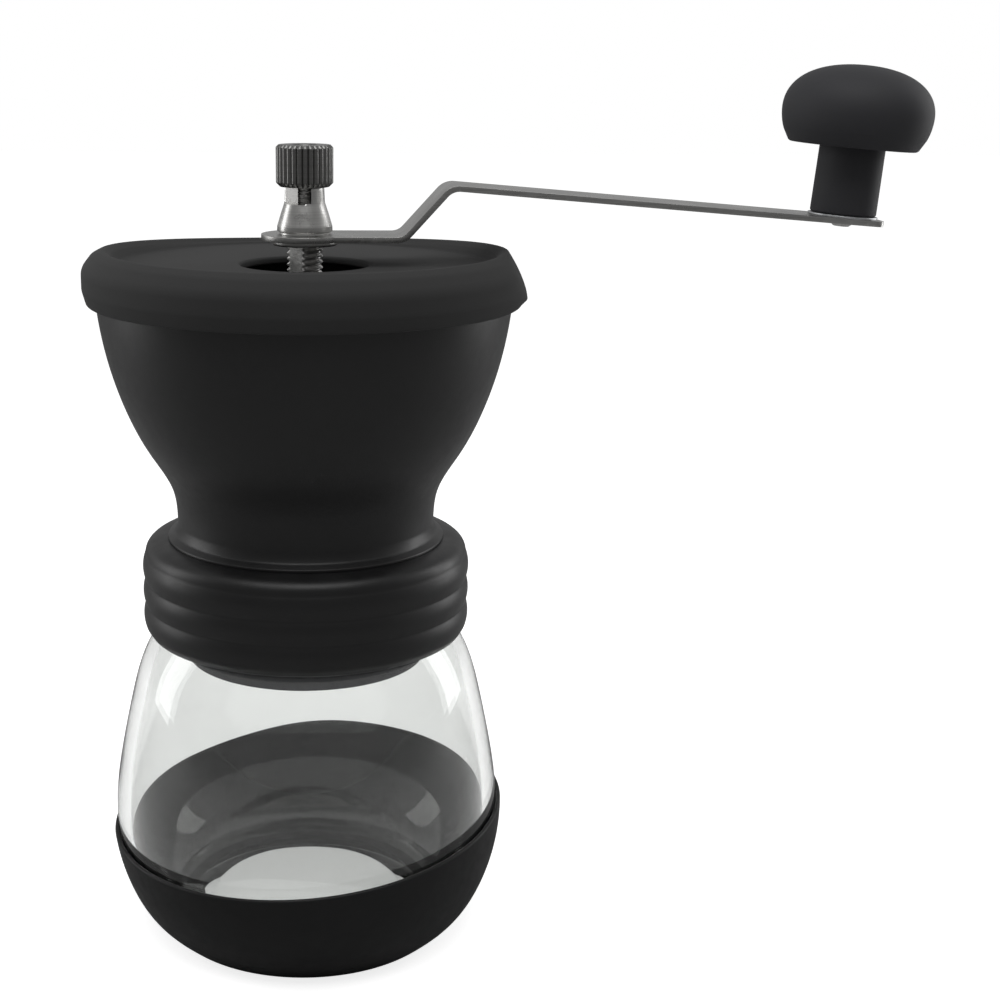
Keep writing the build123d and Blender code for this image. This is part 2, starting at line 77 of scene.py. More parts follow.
def span(node):
    """Lowest and highest corner of a CAD node, in millimetres."""
    low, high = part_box(node)
    return np.array(low) / MM, np.array(high) / MM


def foot_of(node):
    """Lowest height of a CAD node, in millimetres."""
    return span(node)[0][2]


def top_of(node):
    """Highest height of a CAD node, in millimetres."""
    return span(node)[1][2]


# Outlines: arrays of (radius, height) in millimetres


def spline(points, count):
    """Natural cubic curve through the points: cubics joined with equal slope and curvature,
    the parameter is the length of the chords, and the curvature is nil at both ends."""
    p = np.asarray(points, float)
    knots = np.concatenate([[0.0], np.cumsum(np.linalg.norm(np.diff(p, axis=0), axis=1))])
    gap = np.diff(knots)
    size = len(p)
    inner = np.arange(1, size - 1)
    system = np.eye(size)
    system[inner, inner - 1] = gap[:-1]
    system[inner, inner] = 2 * (gap[:-1] + gap[1:])
    system[inner, inner + 1] = gap[1:]
    slope = np.diff(p, axis=0) / gap[:, None]
    right = np.zeros_like(p)
    right[1:-1] = 6 * np.diff(slope, axis=0)
    bend = np.linalg.solve(system, right)
    at = np.linspace(0.0, knots[-1], count)
    k = np.clip(np.searchsorted(knots, at, side="right") - 1, 0, size - 2)
    h = gap[k][:, None]
    before, after = (knots[k + 1] - at)[:, None], (at - knots[k])[:, None]
    return (
        (bend[k] * before ** 3 + bend[k + 1] * after ** 3) / (6 * h)
        + (p[k] / h - bend[k] * h / 6) * before
        + (p[k + 1] / h - bend[k + 1] * h / 6) * after
    )


def beside(outline, distance):
    """Outline moved sideways, to the left of the way it runs: point plus distance times normal."""
    along = np.gradient(outline, axis=0)
    along /= np.linalg.norm(along, axis=1)[:, None]
    return outline + distance * np.stack([-along[:, 1], along[:, 0]], axis=1)


def rounded(corners, steps=5, closed=True):
    """Outline through corners (radius, height, rounding).  Each corner gives way to the arc of
    its rounding that touches both sides, walked by equal angles."""
    spots = np.array([c[:2] for c in corners], float)
    count = len(spots)
    parts = []
    for i, corner in enumerate(corners):
        ends = not closed and i in (0, count - 1)
        if ends or corner[2] <= 0:
            parts.append(spots[i][None])
            continue
        a, b = spots[i - 1] - spots[i], spots[(i + 1) % count] - spots[i]
        reach = 0.49 * min(np.linalg.norm(a), np.linalg.norm(b))
        a, b = a / np.linalg.norm(a), b / np.linalg.norm(b)
        opening = math.acos(np.clip(a @ b, -1, 1))
        if opening > math.pi - 0.01:
            parts.append(spots[i][None])
            continue
        setback = min(corner[2] / math.tan(opening / 2), reach)
        radius = setback * math.tan(opening / 2)
        centre = spots[i] + (a + b) / np.linalg.norm(a + b) * radius / math.sin(opening / 2)
        first, last = spots[i] + a * setback - centre, spots[i] + b * setback - centre
        sweep = math.pi - opening
        t = np.linspace(0, 1, steps + 1)[:, None]
        arc = np.sin((1 - t) * sweep) * first + np.sin(t * sweep) * last
        parts.append(centre + arc / math.sin(sweep))
    return np.concatenate(parts)


def hoop(inner, outer, low, top, roundings, steps):
    """Section of a plain ring, each of its four corners with its own rounding."""
    corners = [(inner, low), (outer, low), (outer, top), (inner, top)]
    return rounded([(*c, r) for c, r in zip(corners, roundings)], steps)


def dense(outline, step):
    """Outline with points added on its straight runs, so that none is longer than step."""
    runs = np.diff(outline, axis=0)
    counts = np.maximum(1, np.ceil(np.linalg.norm(runs, axis=1) / step).astype(int))
    parts = [a + r * (np.arange(n) / n)[:, None] for a, r, n in zip(outline, runs, counts)]
    return np.concatenate([*parts, outline[-1:]])


def bulge(value, centre, width):
    """Smooth hump of height 1: cosine squared of the distance from centre, nil past width."""
    return np.cos(np.clip((value - centre) / width, -1, 1) * math.pi / 2) ** 2


def apart(angle, other):
    """Angle between two directions, from nil to half a turn."""
    return np.abs((angle - other + math.pi) % TURN - math.pi)


def ease(value, start, end):
    """0 before start, 1 after end, and 3t2 - 2t3 in between."""
    t = np.clip((value - start) / (end - start), 0, 1)
    return t * t * (3 - 2 * t)


# Surfaces: grids of points, as arrays of shape (rows, columns, 3)


def turned(outline, segments, shape=None, place=None):
    """Outline carried round an axis: (r cos a, r sin a, z) for every angle a.
    shape(a, r, z) may give each point another radius and height.
    place is a 4x4 array that carries the Z axis to the piece's own axis."""
    angle = np.linspace(0, TURN, segments, endpoint=False)[:, None]
    r = np.broadcast_to(outline[:, 0], (segments, len(outline)))
    z = np.broadcast_to(outline[:, 1], (segments, len(outline)))
    if shape:
        r, z = shape(angle, r, z)
    grid = np.stack([r * np.cos(angle), r * np.sin(angle), z + 0 * angle], axis=-1)
    if place is not None:
        grid = grid @ place[:3, :3].T + place[:3, 3]
    return grid


def lattice(rows, columns, close_rows, close_columns):
    """Corner numbers of the quads between neighbouring grid points, round both closed ways."""
    index = np.arange(rows * columns).reshape(rows, columns)
    if close_rows:
        index = np.vstack([index, index[:1]])
    if close_columns:
        index = np.hstack([index, index[:, :1]])
    corners = [index[:-1, :-1], index[1:, :-1], index[1:, 1:], index[:-1, 1:]]
    return np.stack(corners, axis=-1).reshape(-1, 4)


def mesh_of(name, shells, sharp):
    """Mesh from shells (grid, rows closed, columns closed), with doubles merged, faces turned
    outwards, smooth shading, and edges sharper than sharp degrees kept crisp."""
    points, quads, start = [], [], 0
    for grid, close_rows, close_columns in shells:
        rows, columns = grid.shape[:2]
        points.append(grid.reshape(-1, 3) * MM)
        quads.append(lattice(rows, columns, close_rows, close_columns) + start)
        start += rows * columns
    mesh = bpy.data.meshes.new(name)
    mesh.from_pydata(np.concatenate(points).tolist(), [], np.concatenate(quads).tolist())
    loose = bmesh.new()
    loose.from_mesh(mesh)
    bmesh.ops.remove_doubles(loose, verts=loose.verts, dist=2e-6)
    bmesh.ops.dissolve_degenerate(loose, edges=loose.edges, dist=1e-6)
    bmesh.ops.recalc_face_normals(loose, faces=loose.faces)
    loose.to_mesh(mesh)
    loose.free()
    mesh.shade_smooth()
    mesh.set_sharp_from_angle(angle=math.radians(sharp))
    return mesh


def make_piece(name, shells, finish, body, nodes, sharp=38):
    """A new piece on its CAD body, which stands for its CAD nodes."""
    if not shells:
        raise RuntimeError(f"{name} has no surface")
    piece = bpy.data.objects.new(name, mesh_of(name, shells, sharp))
    bpy.context.scene.collection.objects.link(piece)
    piece.data.materials.append(finish)
    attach(piece, body)
    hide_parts(*nodes)
    return piece


def body_of(node):
    """Name of the CAD body that a node rides on."""
    return frame["nodes"][node]["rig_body"]


def turned_piece(name, outline, segments, finish, node, shape=None, place=None, sharp=38):
    """A piece turned from one closed outline, in place of one CAD node, with a named finish."""
    shells = [(turned(outline, segments, shape, place), True, True)]
    return make_piece(name, shells, finish_of(finish), body_of(node), [node], sharp)


def dress_node(node, finish):
    """Gives a CAD node that stays in view its finish."""
    piece = frame["nodes"][node]
    piece.data.materials.clear()
    piece.data.materials.append(finish)


# Shader nodes


def put(tree, kind, inputs=None, **fields):
    """Adds a node, sets its fields, and fills or links its inputs."""
    made = tree.nodes.new(kind)
    for field, value in fields.items():
        setattr(made, field, value)
    for key, value in (inputs or {}).items():
        if isinstance(value, bpy.types.NodeSocket):
            tree.links.new(value, made.inputs[key])
        else:
            made.inputs[key].default_value = value
    return made


def noise(tree, place, scale, detail=3.0, rough=0.55):
    """Noise value at a place."""
    fields = {"Vector": place, "Scale": scale, "Detail": detail, "Roughness": rough}
    return put(tree, "ShaderNodeTexNoise", fields).outputs["Fac"]


def scaled(tree, vector, factors):
    """Vector with each part multiplied by its own factor."""
    sides = {0: vector, 1: factors}
    return put(tree, "ShaderNodeVectorMath", sides, operation="MULTIPLY").outputs[0]


def sums(tree, operation, *values):
    """One sum of numbers or sockets."""
    return put(tree, "ShaderNodeMath", dict(enumerate(values)), operation=operation).outputs[0]


def spread(tree, value, low, high, to_low=0.0, to_high=1.0):
    """Value from low..high laid out over to_low..to_high, and held there."""
    sides = {"Value": value, "From Min": low, "From Max": high, "To Min": to_low, "To Max": to_high}
    return put(tree, "ShaderNodeMapRange", sides).outputs["Result"]


def effect(name, outputs, wire, **numbers):
    """A node group with a Place and named numbers, built once.  wire(tree, given) returns what
    it puts out."""
    if name in bpy.data.node_groups:
        return bpy.data.node_groups[name]
    tree = bpy.data.node_groups.new(name, "ShaderNodeTree")
    tree.interface.new_socket("Place", in_out="INPUT", socket_type="NodeSocketVector")
    for label, default in numbers.items():
        label = label.replace("_", " ")
        socket = tree.interface.new_socket(label, in_out="INPUT", socket_type="NodeSocketFloat")
        socket.default_value = default
    for label in outputs:
        tree.interface.new_socket(label, in_out="OUTPUT", socket_type="NodeSocketFloat")
    given = tree.nodes.new("NodeGroupInput").outputs
    ends = tree.nodes.new("NodeGroupOutput").inputs
    for label, value in wire(tree, given).items():
        tree.links.new(value, ends[label])
    return tree


def moulded_grain():
    """Grain of a mould's wall: fine noise for height, and slow clouds for tone."""
    def wire(tree, given):
        fine = noise(tree, given["Place"], given["Scale"], 2.0, 0.5)
        slow = noise(tree, given["Place"], given["Cloud Scale"], 3.0, 0.6)
        return {"Height": fine, "Tone": spread(tree, slow, 0.32, 0.68)}
    return effect("moulded_grain", ["Height", "Tone"], wire, Scale=2600.0, Cloud_Scale=30.0)


def handling_marks():
    """Rubbed and greasy patches: clouds that move the roughness between Smooth and Rough."""
    def wire(tree, given):
        broad = noise(tree, given["Place"], given["Scale"], 5.0, 0.62)
        fine = noise(tree, given["Place"], sums(tree, "MULTIPLY", given["Scale"], 9.0), 2.0, 0.5)
        both = sums(tree, "MULTIPLY_ADD", fine, 0.25, sums(tree, "MULTIPLY", broad, 0.75))
        mask = spread(tree, both, 0.38, 0.62)
        return {"Roughness": spread(tree, mask, 0.0, 1.0, given["Smooth"], given["Rough"])}
    return effect("handling_marks", ["Roughness"], wire, Scale=40.0, Smooth=0.35, Rough=0.5)


def drawn_lines():
    """Fine lines along X, as a rolled and brushed strip has: noise on coordinates squeezed in X."""
    def wire(tree, given):
        lines = noise(tree, scaled(tree, given["Place"], (0.02, 1.0, 1.0)), given["Scale"], 3.0, 0.7)
        return {"Height": lines, "Tone": spread(tree, lines, 0.3, 0.7)}
    return effect("drawn_lines", ["Height", "Tone"], wire, Scale=3000.0)


def turning_rings():
    """Rings that a lathe leaves: noise on distance from the Z axis and height only."""
    def wire(tree, given):
        flat = scaled(tree, given["Place"], (1.0, 1.0, 0.0))
        reach = put(tree, "ShaderNodeVectorMath", {0: flat}, operation="LENGTH")
        parts = put(tree, "ShaderNodeSeparateXYZ", {0: given["Place"]})
        both = put(tree, "ShaderNodeCombineXYZ", {"X": reach.outputs["Value"], "Z": parts.outputs["Z"]})
        rings = noise(tree, both.outputs[0], given["Scale"], 3.0, 0.7)
        return {"Height": rings, "Tone": spread(tree, rings, 0.3, 0.7)}
    return effect("turning_rings", ["Height", "Tone"], wire, Scale=4000.0)


def settled_dust():
    """Dust on faces that look up: the normal's height times broken noise."""
    def wire(tree, given):
        normal = put(tree, "ShaderNodeNewGeometry").outputs["Normal"]
        upward = put(tree, "ShaderNodeSeparateXYZ", {0: normal}).outputs["Z"]
        facing = spread(tree, upward, 0.35, 1.0)
        broken = spread(tree, noise(tree, given["Place"], given["Scale"], 6.0, 0.7), 0.42, 0.72)
        return {"Mask": sums(tree, "MULTIPLY", facing, sums(tree, "MULTIPLY", broken, given["Amount"]))}
    return effect("settled_dust", ["Mask"], wire, Scale=160.0, Amount=0.5)


def edge_rub():
    """Worn edges: where the surface is convex, broken up by noise."""
    def wire(tree, given):
        point = put(tree, "ShaderNodeNewGeometry").outputs["Pointiness"]
        edge = spread(tree, point, 0.52, 0.6)
        broken = spread(tree, noise(tree, given["Place"], given["Scale"], 4.0, 0.6), 0.35, 0.6)
        return {"Mask": sums(tree, "MULTIPLY", edge, sums(tree, "MULTIPLY", broken, given["Amount"]))}
    return effect("edge_rub", ["Mask"], wire, Scale=500.0, Amount=0.5)


def blown_waves():
    """Slow waves and faint smears of blown glass."""
    def wire(tree, given):
        waves = noise(tree, given["Place"], given["Scale"], 1.0, 0.4)
        smears = noise(tree, given["Place"], sums(tree, "MULTIPLY", given["Scale"], 3.0), 6.0, 0.7)
        return {"Height": waves, "Smears": spread(tree, smears, 0.55, 0.75, 0.0, 0.035)}
    return effect("blown_waves", ["Height", "Smears"], wire, Scale=22.0)


def use(tree, group, place, **values):
    """Places a node group in a material, with its own values."""
    made = tree.nodes.new("ShaderNodeGroup")
    made.node_tree = group
    tree.links.new(place, made.inputs["Place"])
    for label, value in values.items():
        made.inputs[label.replace("_", " ")].default_value = value
    return made.outputs


def blank(name):
    """Material with only its Principled shader: the tree, the shader and Object coordinates."""
    material = bpy.data.materials.new(name)
    material.use_nodes = True
    tree = material.node_tree
    shader = tree.nodes["Principled BSDF"]
    place = put(tree, "ShaderNodeTexCoord").outputs["Object"]
    return material, tree, shader, place


def blend_colour(tree, mask, first, second):
    """Colour from first to second by a mask."""
    mix = put(tree, "ShaderNodeMix", {0: mask}, data_type="RGBA", clamp_factor=True)
    for number, value in ((6, first), (7, second)):
        if isinstance(value, bpy.types.NodeSocket):
            tree.links.new(value, mix.inputs[number])
        else:
            mix.inputs[number].default_value = (*value, 1.0)
    return mix.outputs[2]


def shade(colour, amount):
    """Colour made lighter or darker."""
    return tuple(min(1.0, c * amount) for c in colour)


def rough_and_bumpy(tree, shader, place, height, strength, depth, **marks):
    """Roughness from handling marks, and a bump of a depth in millimetres."""
    worn = use(tree, handling_marks(), place, **marks)["Roughness"]
    tree.links.new(worn, shader.inputs["Roughness"])
    sides = {"Height": height, "Strength": strength, "Distance": depth * MM}
    bump = put(tree, "ShaderNodeBump", sides)
    tree.links.new(bump.outputs[0], shader.inputs["Normal"])


def moulded(name, colour, smooth, rough, grain, depth, dust=0.3, specular=0.5):
    """Finish of a moulded piece: two near tones in clouds, a fine mould grain, handling marks
    in the roughness, and dust on top faces."""
    material, tree, shader, place = blank(name)
    grain_out = use(tree, moulded_grain(), place, Scale=grain)
    dust_out = use(tree, settled_dust(), place, Amount=dust)
    tone = blend_colour(tree, grain_out["Tone"], shade(colour, 0.82), shade(colour, 1.2))
    tone = blend_colour(tree, dust_out["Mask"], tone, shade(colour, 3.0))
    tree.links.new(tone, shader.inputs["Base Color"])
    rough_and_bumpy(tree, shader, place, grain_out["Height"], 0.5, depth, Smooth=smooth, Rough=rough)
    shader.inputs["Specular IOR Level"].default_value = specular
    return material


def steel(name, colour, lines, scale, smooth, rough, depth, rub=0.0):
    """Finish of a metal piece: the tool's lines in tone and height, smears in the roughness,
    and edges rubbed bright."""
    material, tree, shader, place = blank(name)
    cut = use(tree, lines, place, Scale=scale)
    tone = blend_colour(tree, cut["Tone"], shade(colour, 0.78), shade(colour, 1.12))
    if rub:
        edges = use(tree, edge_rub(), place, Amount=rub)["Mask"]
        tone = blend_colour(tree, edges, tone, shade(colour, 1.6))
    tree.links.new(tone, shader.inputs["Base Color"])
    marks = {"Scale": 120.0, "Smooth": smooth, "Rough": rough}
    rough_and_bumpy(tree, shader, place, cut["Height"], 0.4, depth, **marks)
    shader.inputs["Metallic"].default_value = 1.0
    return material


def blown_glass(name, tint):
    """Clear glass: full transmission, faint smears in the roughness, slow waves in the normal."""
    material, tree, shader, place = blank(name)
    waves = use(tree, blown_waves(), place)
    tree.links.new(waves["Smears"], shader.inputs["Roughness"])
    sides = {"Height": waves["Height"], "Strength": 0.25, "Distance": 0.25 * MM}
    bump = put(tree, "ShaderNodeBump", sides)
    tree.links.new(bump.outputs[0], shader.inputs["Normal"])
    shader.inputs["Base Color"].default_value = (*tint, 1.0)
    shader.inputs["Transmission Weight"].default_value = 1.0
    shader.inputs["IOR"].default_value = 1.5
    shader.inputs["Specular IOR Level"].default_value = 0.3
    return material


def finish_of(name):
    """The finish of that name, made once from the user's colours."""
    if name in bpy.data.materials:
        return bpy.data.materials[name]
    c = bpy.context.scene.grinder_colours
    plastics = {
        "boot_silicone": (c.boot, 0.42, 0.55, 1800.0, 0.005, 0.25, 0.3),
        "seal_rubber": ((0.35, 0.35, 0.34), 0.5, 0.7, 2000.0, 0.03),
        "hopper_plastic": (c.plastic, 0.36, 0.46, 2600.0, 0.025, 0.35),
        "inner_plastic": ((0.02, 0.02, 0.021), 0.4, 0.55, 2400.0, 0.03),
        "bush_plastic": ((0.72, 0.71, 0.68), 0.35, 0.5, 3000.0, 0.02),
        "burr_ceramic": ((0.82, 0.80, 0.76), 0.3, 0.5, 3400.0, 0.03, 0.1),
        "lid_rubber": (c.lid, 0.5, 0.62, 2200.0, 0.035, 0.6, 0.35),
        "knob_plastic": (c.knob, 0.36, 0.48, 3000.0, 0.015, 0.2, 0.35),
    }
    metals = {
        "strip_steel": (shade(c.steel, 0.85), drawn_lines, 3200.0, 0.24, 0.38, 0.006, 0.6),
        "lathe_steel": (shade(c.steel, 1.12), turning_rings, 4500.0, 0.24, 0.4, 0.02, 0.5),
        "thread_steel": (shade(c.steel, 1.3), turning_rings, 3000.0, 0.3, 0.5, 0.006, 0.4),
        "knurl_steel": (shade(c.steel, 0.42), turning_rings, 3000.0, 0.26, 0.4, 0.006, 1.0),
        "zinc_plate": ((0.55, 0.56, 0.57), turning_rings, 1500.0, 0.3, 0.5, 0.006),
        "spring_wire": ((0.42, 0.42, 0.43), turning_rings, 2500.0, 0.25, 0.4, 0.004),
    }
    if name in plastics:
        return moulded(name, *plastics[name])
    if name in metals:
        colour, lines, *numbers = metals[name]
        return steel(name, colour, lines(), *numbers)
    return blown_glass(name, c.glass)


# What a user may change


def length(name, description, default, low=0.0, high=0.1):
    """A size in metres, from a default in millimetres."""
    return FloatProperty(
        name=name, description=description, default=default * MM, min=low, max=high,
        unit="LENGTH", precision=5,
    )


def turn(name, description, default):
    """An angle, in radians."""
    return FloatProperty(name=name, description=description, default=default, subtype="ANGLE")


def number(name, description, default, low=0.0, high=100.0):
    """A plain number."""
    return FloatProperty(name=name, description=description, default=default, min=low, max=high)


def tint(name, description, default):
    """A colour."""
    return FloatVectorProperty(
        name=name, description=description, default=default, min=0.0, max=1.0,
        size=3, subtype="COLOR",
    )


class GrinderSizes(bpy.types.PropertyGroup):
    """Sizes of the shapes that the frame leaves open."""

    boot_rim: length("Boot rim", "Height of the boot's rim on the jar's axis", 28.0)
    boot_tilt: turn("Boot tilt", "Slant of the boot's rim", math.radians(5.2))
    boot_turn: turn("Boot turn", "Where the rim is highest, from the crank's side", math.radians(30.0))
    boot_wave: length("Boot wave", "How far the boot's rim waves at the back", 0.5, 0.0, 0.002)
    rib_height: length("Rib height", "How far the collar's ribs stand out", 0.6, 0.0, 0.003)
    lip_reach: length("Lift lip", "How far the lid's lift lip stands out", 0.4, 0.0, 0.0006)
    knurls: IntProperty(
        name="Knurls", description="Grooves round the thumb nut", default=30, min=8, max=80,
    )
    knurl_depth: length("Knurl depth", "Depth of the thumb nut's grooves", 0.42, 0.0, 0.001)


class GrinderColours(bpy.types.PropertyGroup):
    """Colours of the finishes."""

    glass: tint("Glass", "Tint of the jar", (0.78, 0.79, 0.78))
    boot: tint("Boot", "Silicone of the boot", (0.007, 0.007, 0.0074))
    plastic: tint("Plastic", "Plastic of the hopper and collar", (0.006, 0.006, 0.0063))
    lid: tint("Lid", "Rubber of the lid", (0.011, 0.011, 0.0115))
    knob: tint("Knob", "Plastic of the knob", (0.006, 0.006, 0.0063))
    steel: tint("Steel", "Steel of the crank and shaft", (0.50, 0.497, 0.485))


class GrinderStage(bpy.types.PropertyGroup):
    """Camera, light and floor."""

    camera_place: FloatVectorProperty(
        name="Camera place", description="Where the camera stands", size=3, subtype="XYZ", unit="LENGTH",
        default=(-0.01019, -0.38545, 0.20346),
    )
    camera_heading: turn("Heading", "Turn of the view from +Y towards +X", 0.08209)
    camera_dip: turn("Dip", "How far the view looks down", 0.25597)
    camera_roll: turn("Roll", "Turn of the camera about its view", 0.00943)
    lens: number("Lens", "Focal length, millimetres", 62.72, 20.0, 200.0)
    shift: number("Shift", "Sideways shift of the lens", 0.10, -0.3, 0.3)
    side_light: number("Side lights", "Power of each side light, watts", 0.9)
    top_light: number("Top light", "Power of the top light, watts", 3.0)
    surround: number("Surround", "Brightness of the room beside and behind", 0.42)


# Jar

BELLY = [
    (32.0, 1.4), (37.3, 5.6), (41.3, 12.5), (43.8, 20.5), (44.8, 30.0),
    (43.2, 44.0), (40.7, 56.0), (37.0, 68.0), (34.2, 73.0),
]
NECK_RADIUS = 32.4
NECK_BORE = 29.4
NECK_BASE = 75.2
THREAD_LEAD = 5.0
THREAD_START = 78.0
JAR_THREAD_TURNS = 1.2
COLLAR_THREAD_TURNS = 0.6
RIDGE_HEIGHT = 1.15
RIDGE_HALF_WIDTH = 0.95


def screw_ridge(angle, z, start, turns):
    """Height, 0 to 1, of a screw ridge whose middle climbs one lead a turn from start, and
    which fades out at both ends."""
    ridge = 0 * z * angle
    for lap in range(math.ceil(turns) + 1):
        done = angle / TURN + lap
        fade = ease(done, 0.0, 0.06) * (1 - ease(done, turns - 0.06, turns))
        middle = start + THREAD_LEAD * done
        ridge = ridge + fade * np.minimum(1, 1.6 * bulge(z, middle, RIDGE_HALF_WIDTH * 1.25))
    return ridge


def jar_outline():
    """The jar's section, from the middle of its foot round the lip to the middle of its floor."""
    top = top_of("glass_jar")
    low = foot_of("glass_jar")
    outer = spline(BELLY, 90)
    belly_points = np.array(BELLY)
    tangent = np.gradient(belly_points, axis=0)
    tangent /= np.linalg.norm(tangent, axis=1)[:, None]
    inner_points = belly_points + 3.0 * np.stack([-tangent[:, 1], tangent[:, 0]], axis=1)
    inner = spline([(27.0, 8.0), (33.4, 9.6), (37.3, 13.6), *inner_points[3:]], 90)
    foot = rounded([
        (0.0, low + 1.1, 0), (22.0, low + 0.9, 6.0), (27.5, low, 3.0), (31.0, low, 1.2), (*outer[2], 0),
    ], 5, closed=False)
    neck = rounded([
        (*outer[-1], 0), (NECK_RADIUS, NECK_BASE - 0.4, 2.0), (NECK_RADIUS, top, 1.3),
        (NECK_BORE, top, 1.3), (NECK_BORE, NECK_BASE + 2.0, 3.0), (*inner[-1], 0),
    ], 6, closed=False)
    floor = rounded([(*inner[1], 0), (25.5, 7.9, 4.0), (0.0, 7.7, 0)], 5, closed=False)
    return np.concatenate([foot[:-1], outer[2:-1], dense(neck, 0.3), inner[::-1][1:-1], floor])


class GRINDER_OT_jar(bpy.types.Operator):
    """Blown glass jar with its screw ridge"""

    bl_idname = "grinder.jar"
    bl_label = "Jar"

    def execute(self, context):
        def ridge(angle, r, z):
            outside = (r > NECK_RADIUS - 0.05) & (z > NECK_BASE) & (z < top_of("glass_jar") - 1.2)
            return r + outside * RIDGE_HEIGHT * screw_ridge(angle, z, THREAD_START, JAR_THREAD_TURNS), z

        shells = [(turned(jar_outline(), 200, ridge), True, False)]
        finish = finish_of("clear_glass")
        make_piece("jar_glass", shells, finish, "jar", ["glass_jar"], 60)
        return {"FINISHED"}


# Boot

BOOT_WALL = 1.15
BOOT_GAP = 0.08
BOOT_FLOOR = 1.4
BOOT_HOLE = 26.0
BOOT_FOOT = 33.1
WAVE_TURN = math.radians(95)
WAVE_HALF_ARC = 1.4


class GRINDER_OT_boot(bpy.types.Operator):
    """Silicone boot round the jar's foot, with a slanted rim"""

    bl_idname = "grinder.boot"
    bl_label = "Boot"

    def execute(self, context):
        sizes = context.scene.grinder_sizes
        belly = spline(BELLY, 400)
        skin = spline([(BOOT_FOOT, 0.0), *beside(np.array(BELLY), -BOOT_WALL)[1:6]], 400)
        liner = beside(belly, -BOOT_GAP)
        angle = np.linspace(0, TURN, 200, endpoint=False)[:, None]
        slope = math.tan(sizes.boot_tilt) * 45.0
        back = bulge(apart(angle, WAVE_TURN), 0.0, WAVE_HALF_ARC)
        wave = sizes.boot_wave / MM * back * np.sin(5 * angle + 0.6)
        half = (BOOT_WALL - BOOT_GAP) / 2
        rim = sizes.boot_rim / MM + slope * np.cos(angle - sizes.boot_turn) + wave - half

        def at(curve, z):
            return np.interp(z, curve[:, 1], curve[:, 0])

        rise = np.linspace(0, 1, 60)[None] ** 1.1
        out_z = 0.9 + rise * (rim - 0.9)
        out_r = at(skin, out_z)
        in_z = BOOT_FLOOR + 0.35 + rise[:, ::-1] * (rim - BOOT_FLOOR - 0.35)
        in_r = at(liner, in_z)
        round_top = np.linspace(0, math.pi, 9)[None, 1:-1]
        middle = (out_r[:, -1:] + in_r[:, :1]) / 2
        over = (out_r[:, -1:] - in_r[:, :1]) / 2
        top_r = middle + over * np.cos(round_top)
        top_z = rim + half * np.sin(round_top)
        foot = rounded([
            (float(at(liner, BOOT_FLOOR + 0.35)), BOOT_FLOOR + 0.35, 0), (31.0, BOOT_FLOOR, 0.4),
            (BOOT_HOLE, BOOT_FLOOR, 0.5), (BOOT_HOLE, 0.0, 0.5), (BOOT_FOOT, 0.0, 0.9),
            (float(at(skin, 0.9)), 0.9, 0),
        ], 5, closed=False)[1:-1]
        foot_r = np.broadcast_to(foot[:, 0], (200, len(foot)))
        foot_z = np.broadcast_to(foot[:, 1], (200, len(foot)))
        r = np.concatenate([out_r, top_r, in_r, foot_r], axis=1)
        z = np.concatenate([out_z, top_z, in_z, foot_z], axis=1)
        grid = np.stack([r * np.cos(angle), r * np.sin(angle), z], axis=-1)
        make_piece(
            "boot_silicone", [(grid, True, True)], finish_of("boot_silicone"), "jar",
            ["silicone_boot"], 50,
        )
        return {"FINISHED"}


# Head: seal, collar, hopper

COLLAR_RADIUS = 36.7
COLLAR_BORE = 34.1
COLLAR_HOLE = 28.4
COLLAR_ROOF = 91.0
RIBS = 3
RIB_PITCH = 5.6
RIBS_BOTTOM = 74.2
HOPPER_SKIN = [
    (29.1, 97.2), (30.1, 106.0), (35.2, 115.0), (40.2, 125.0), (43.5, 135.0), (45.5, 145.0),
    (46.5, 154.5),
]
HOPPER_WALL = 2.2


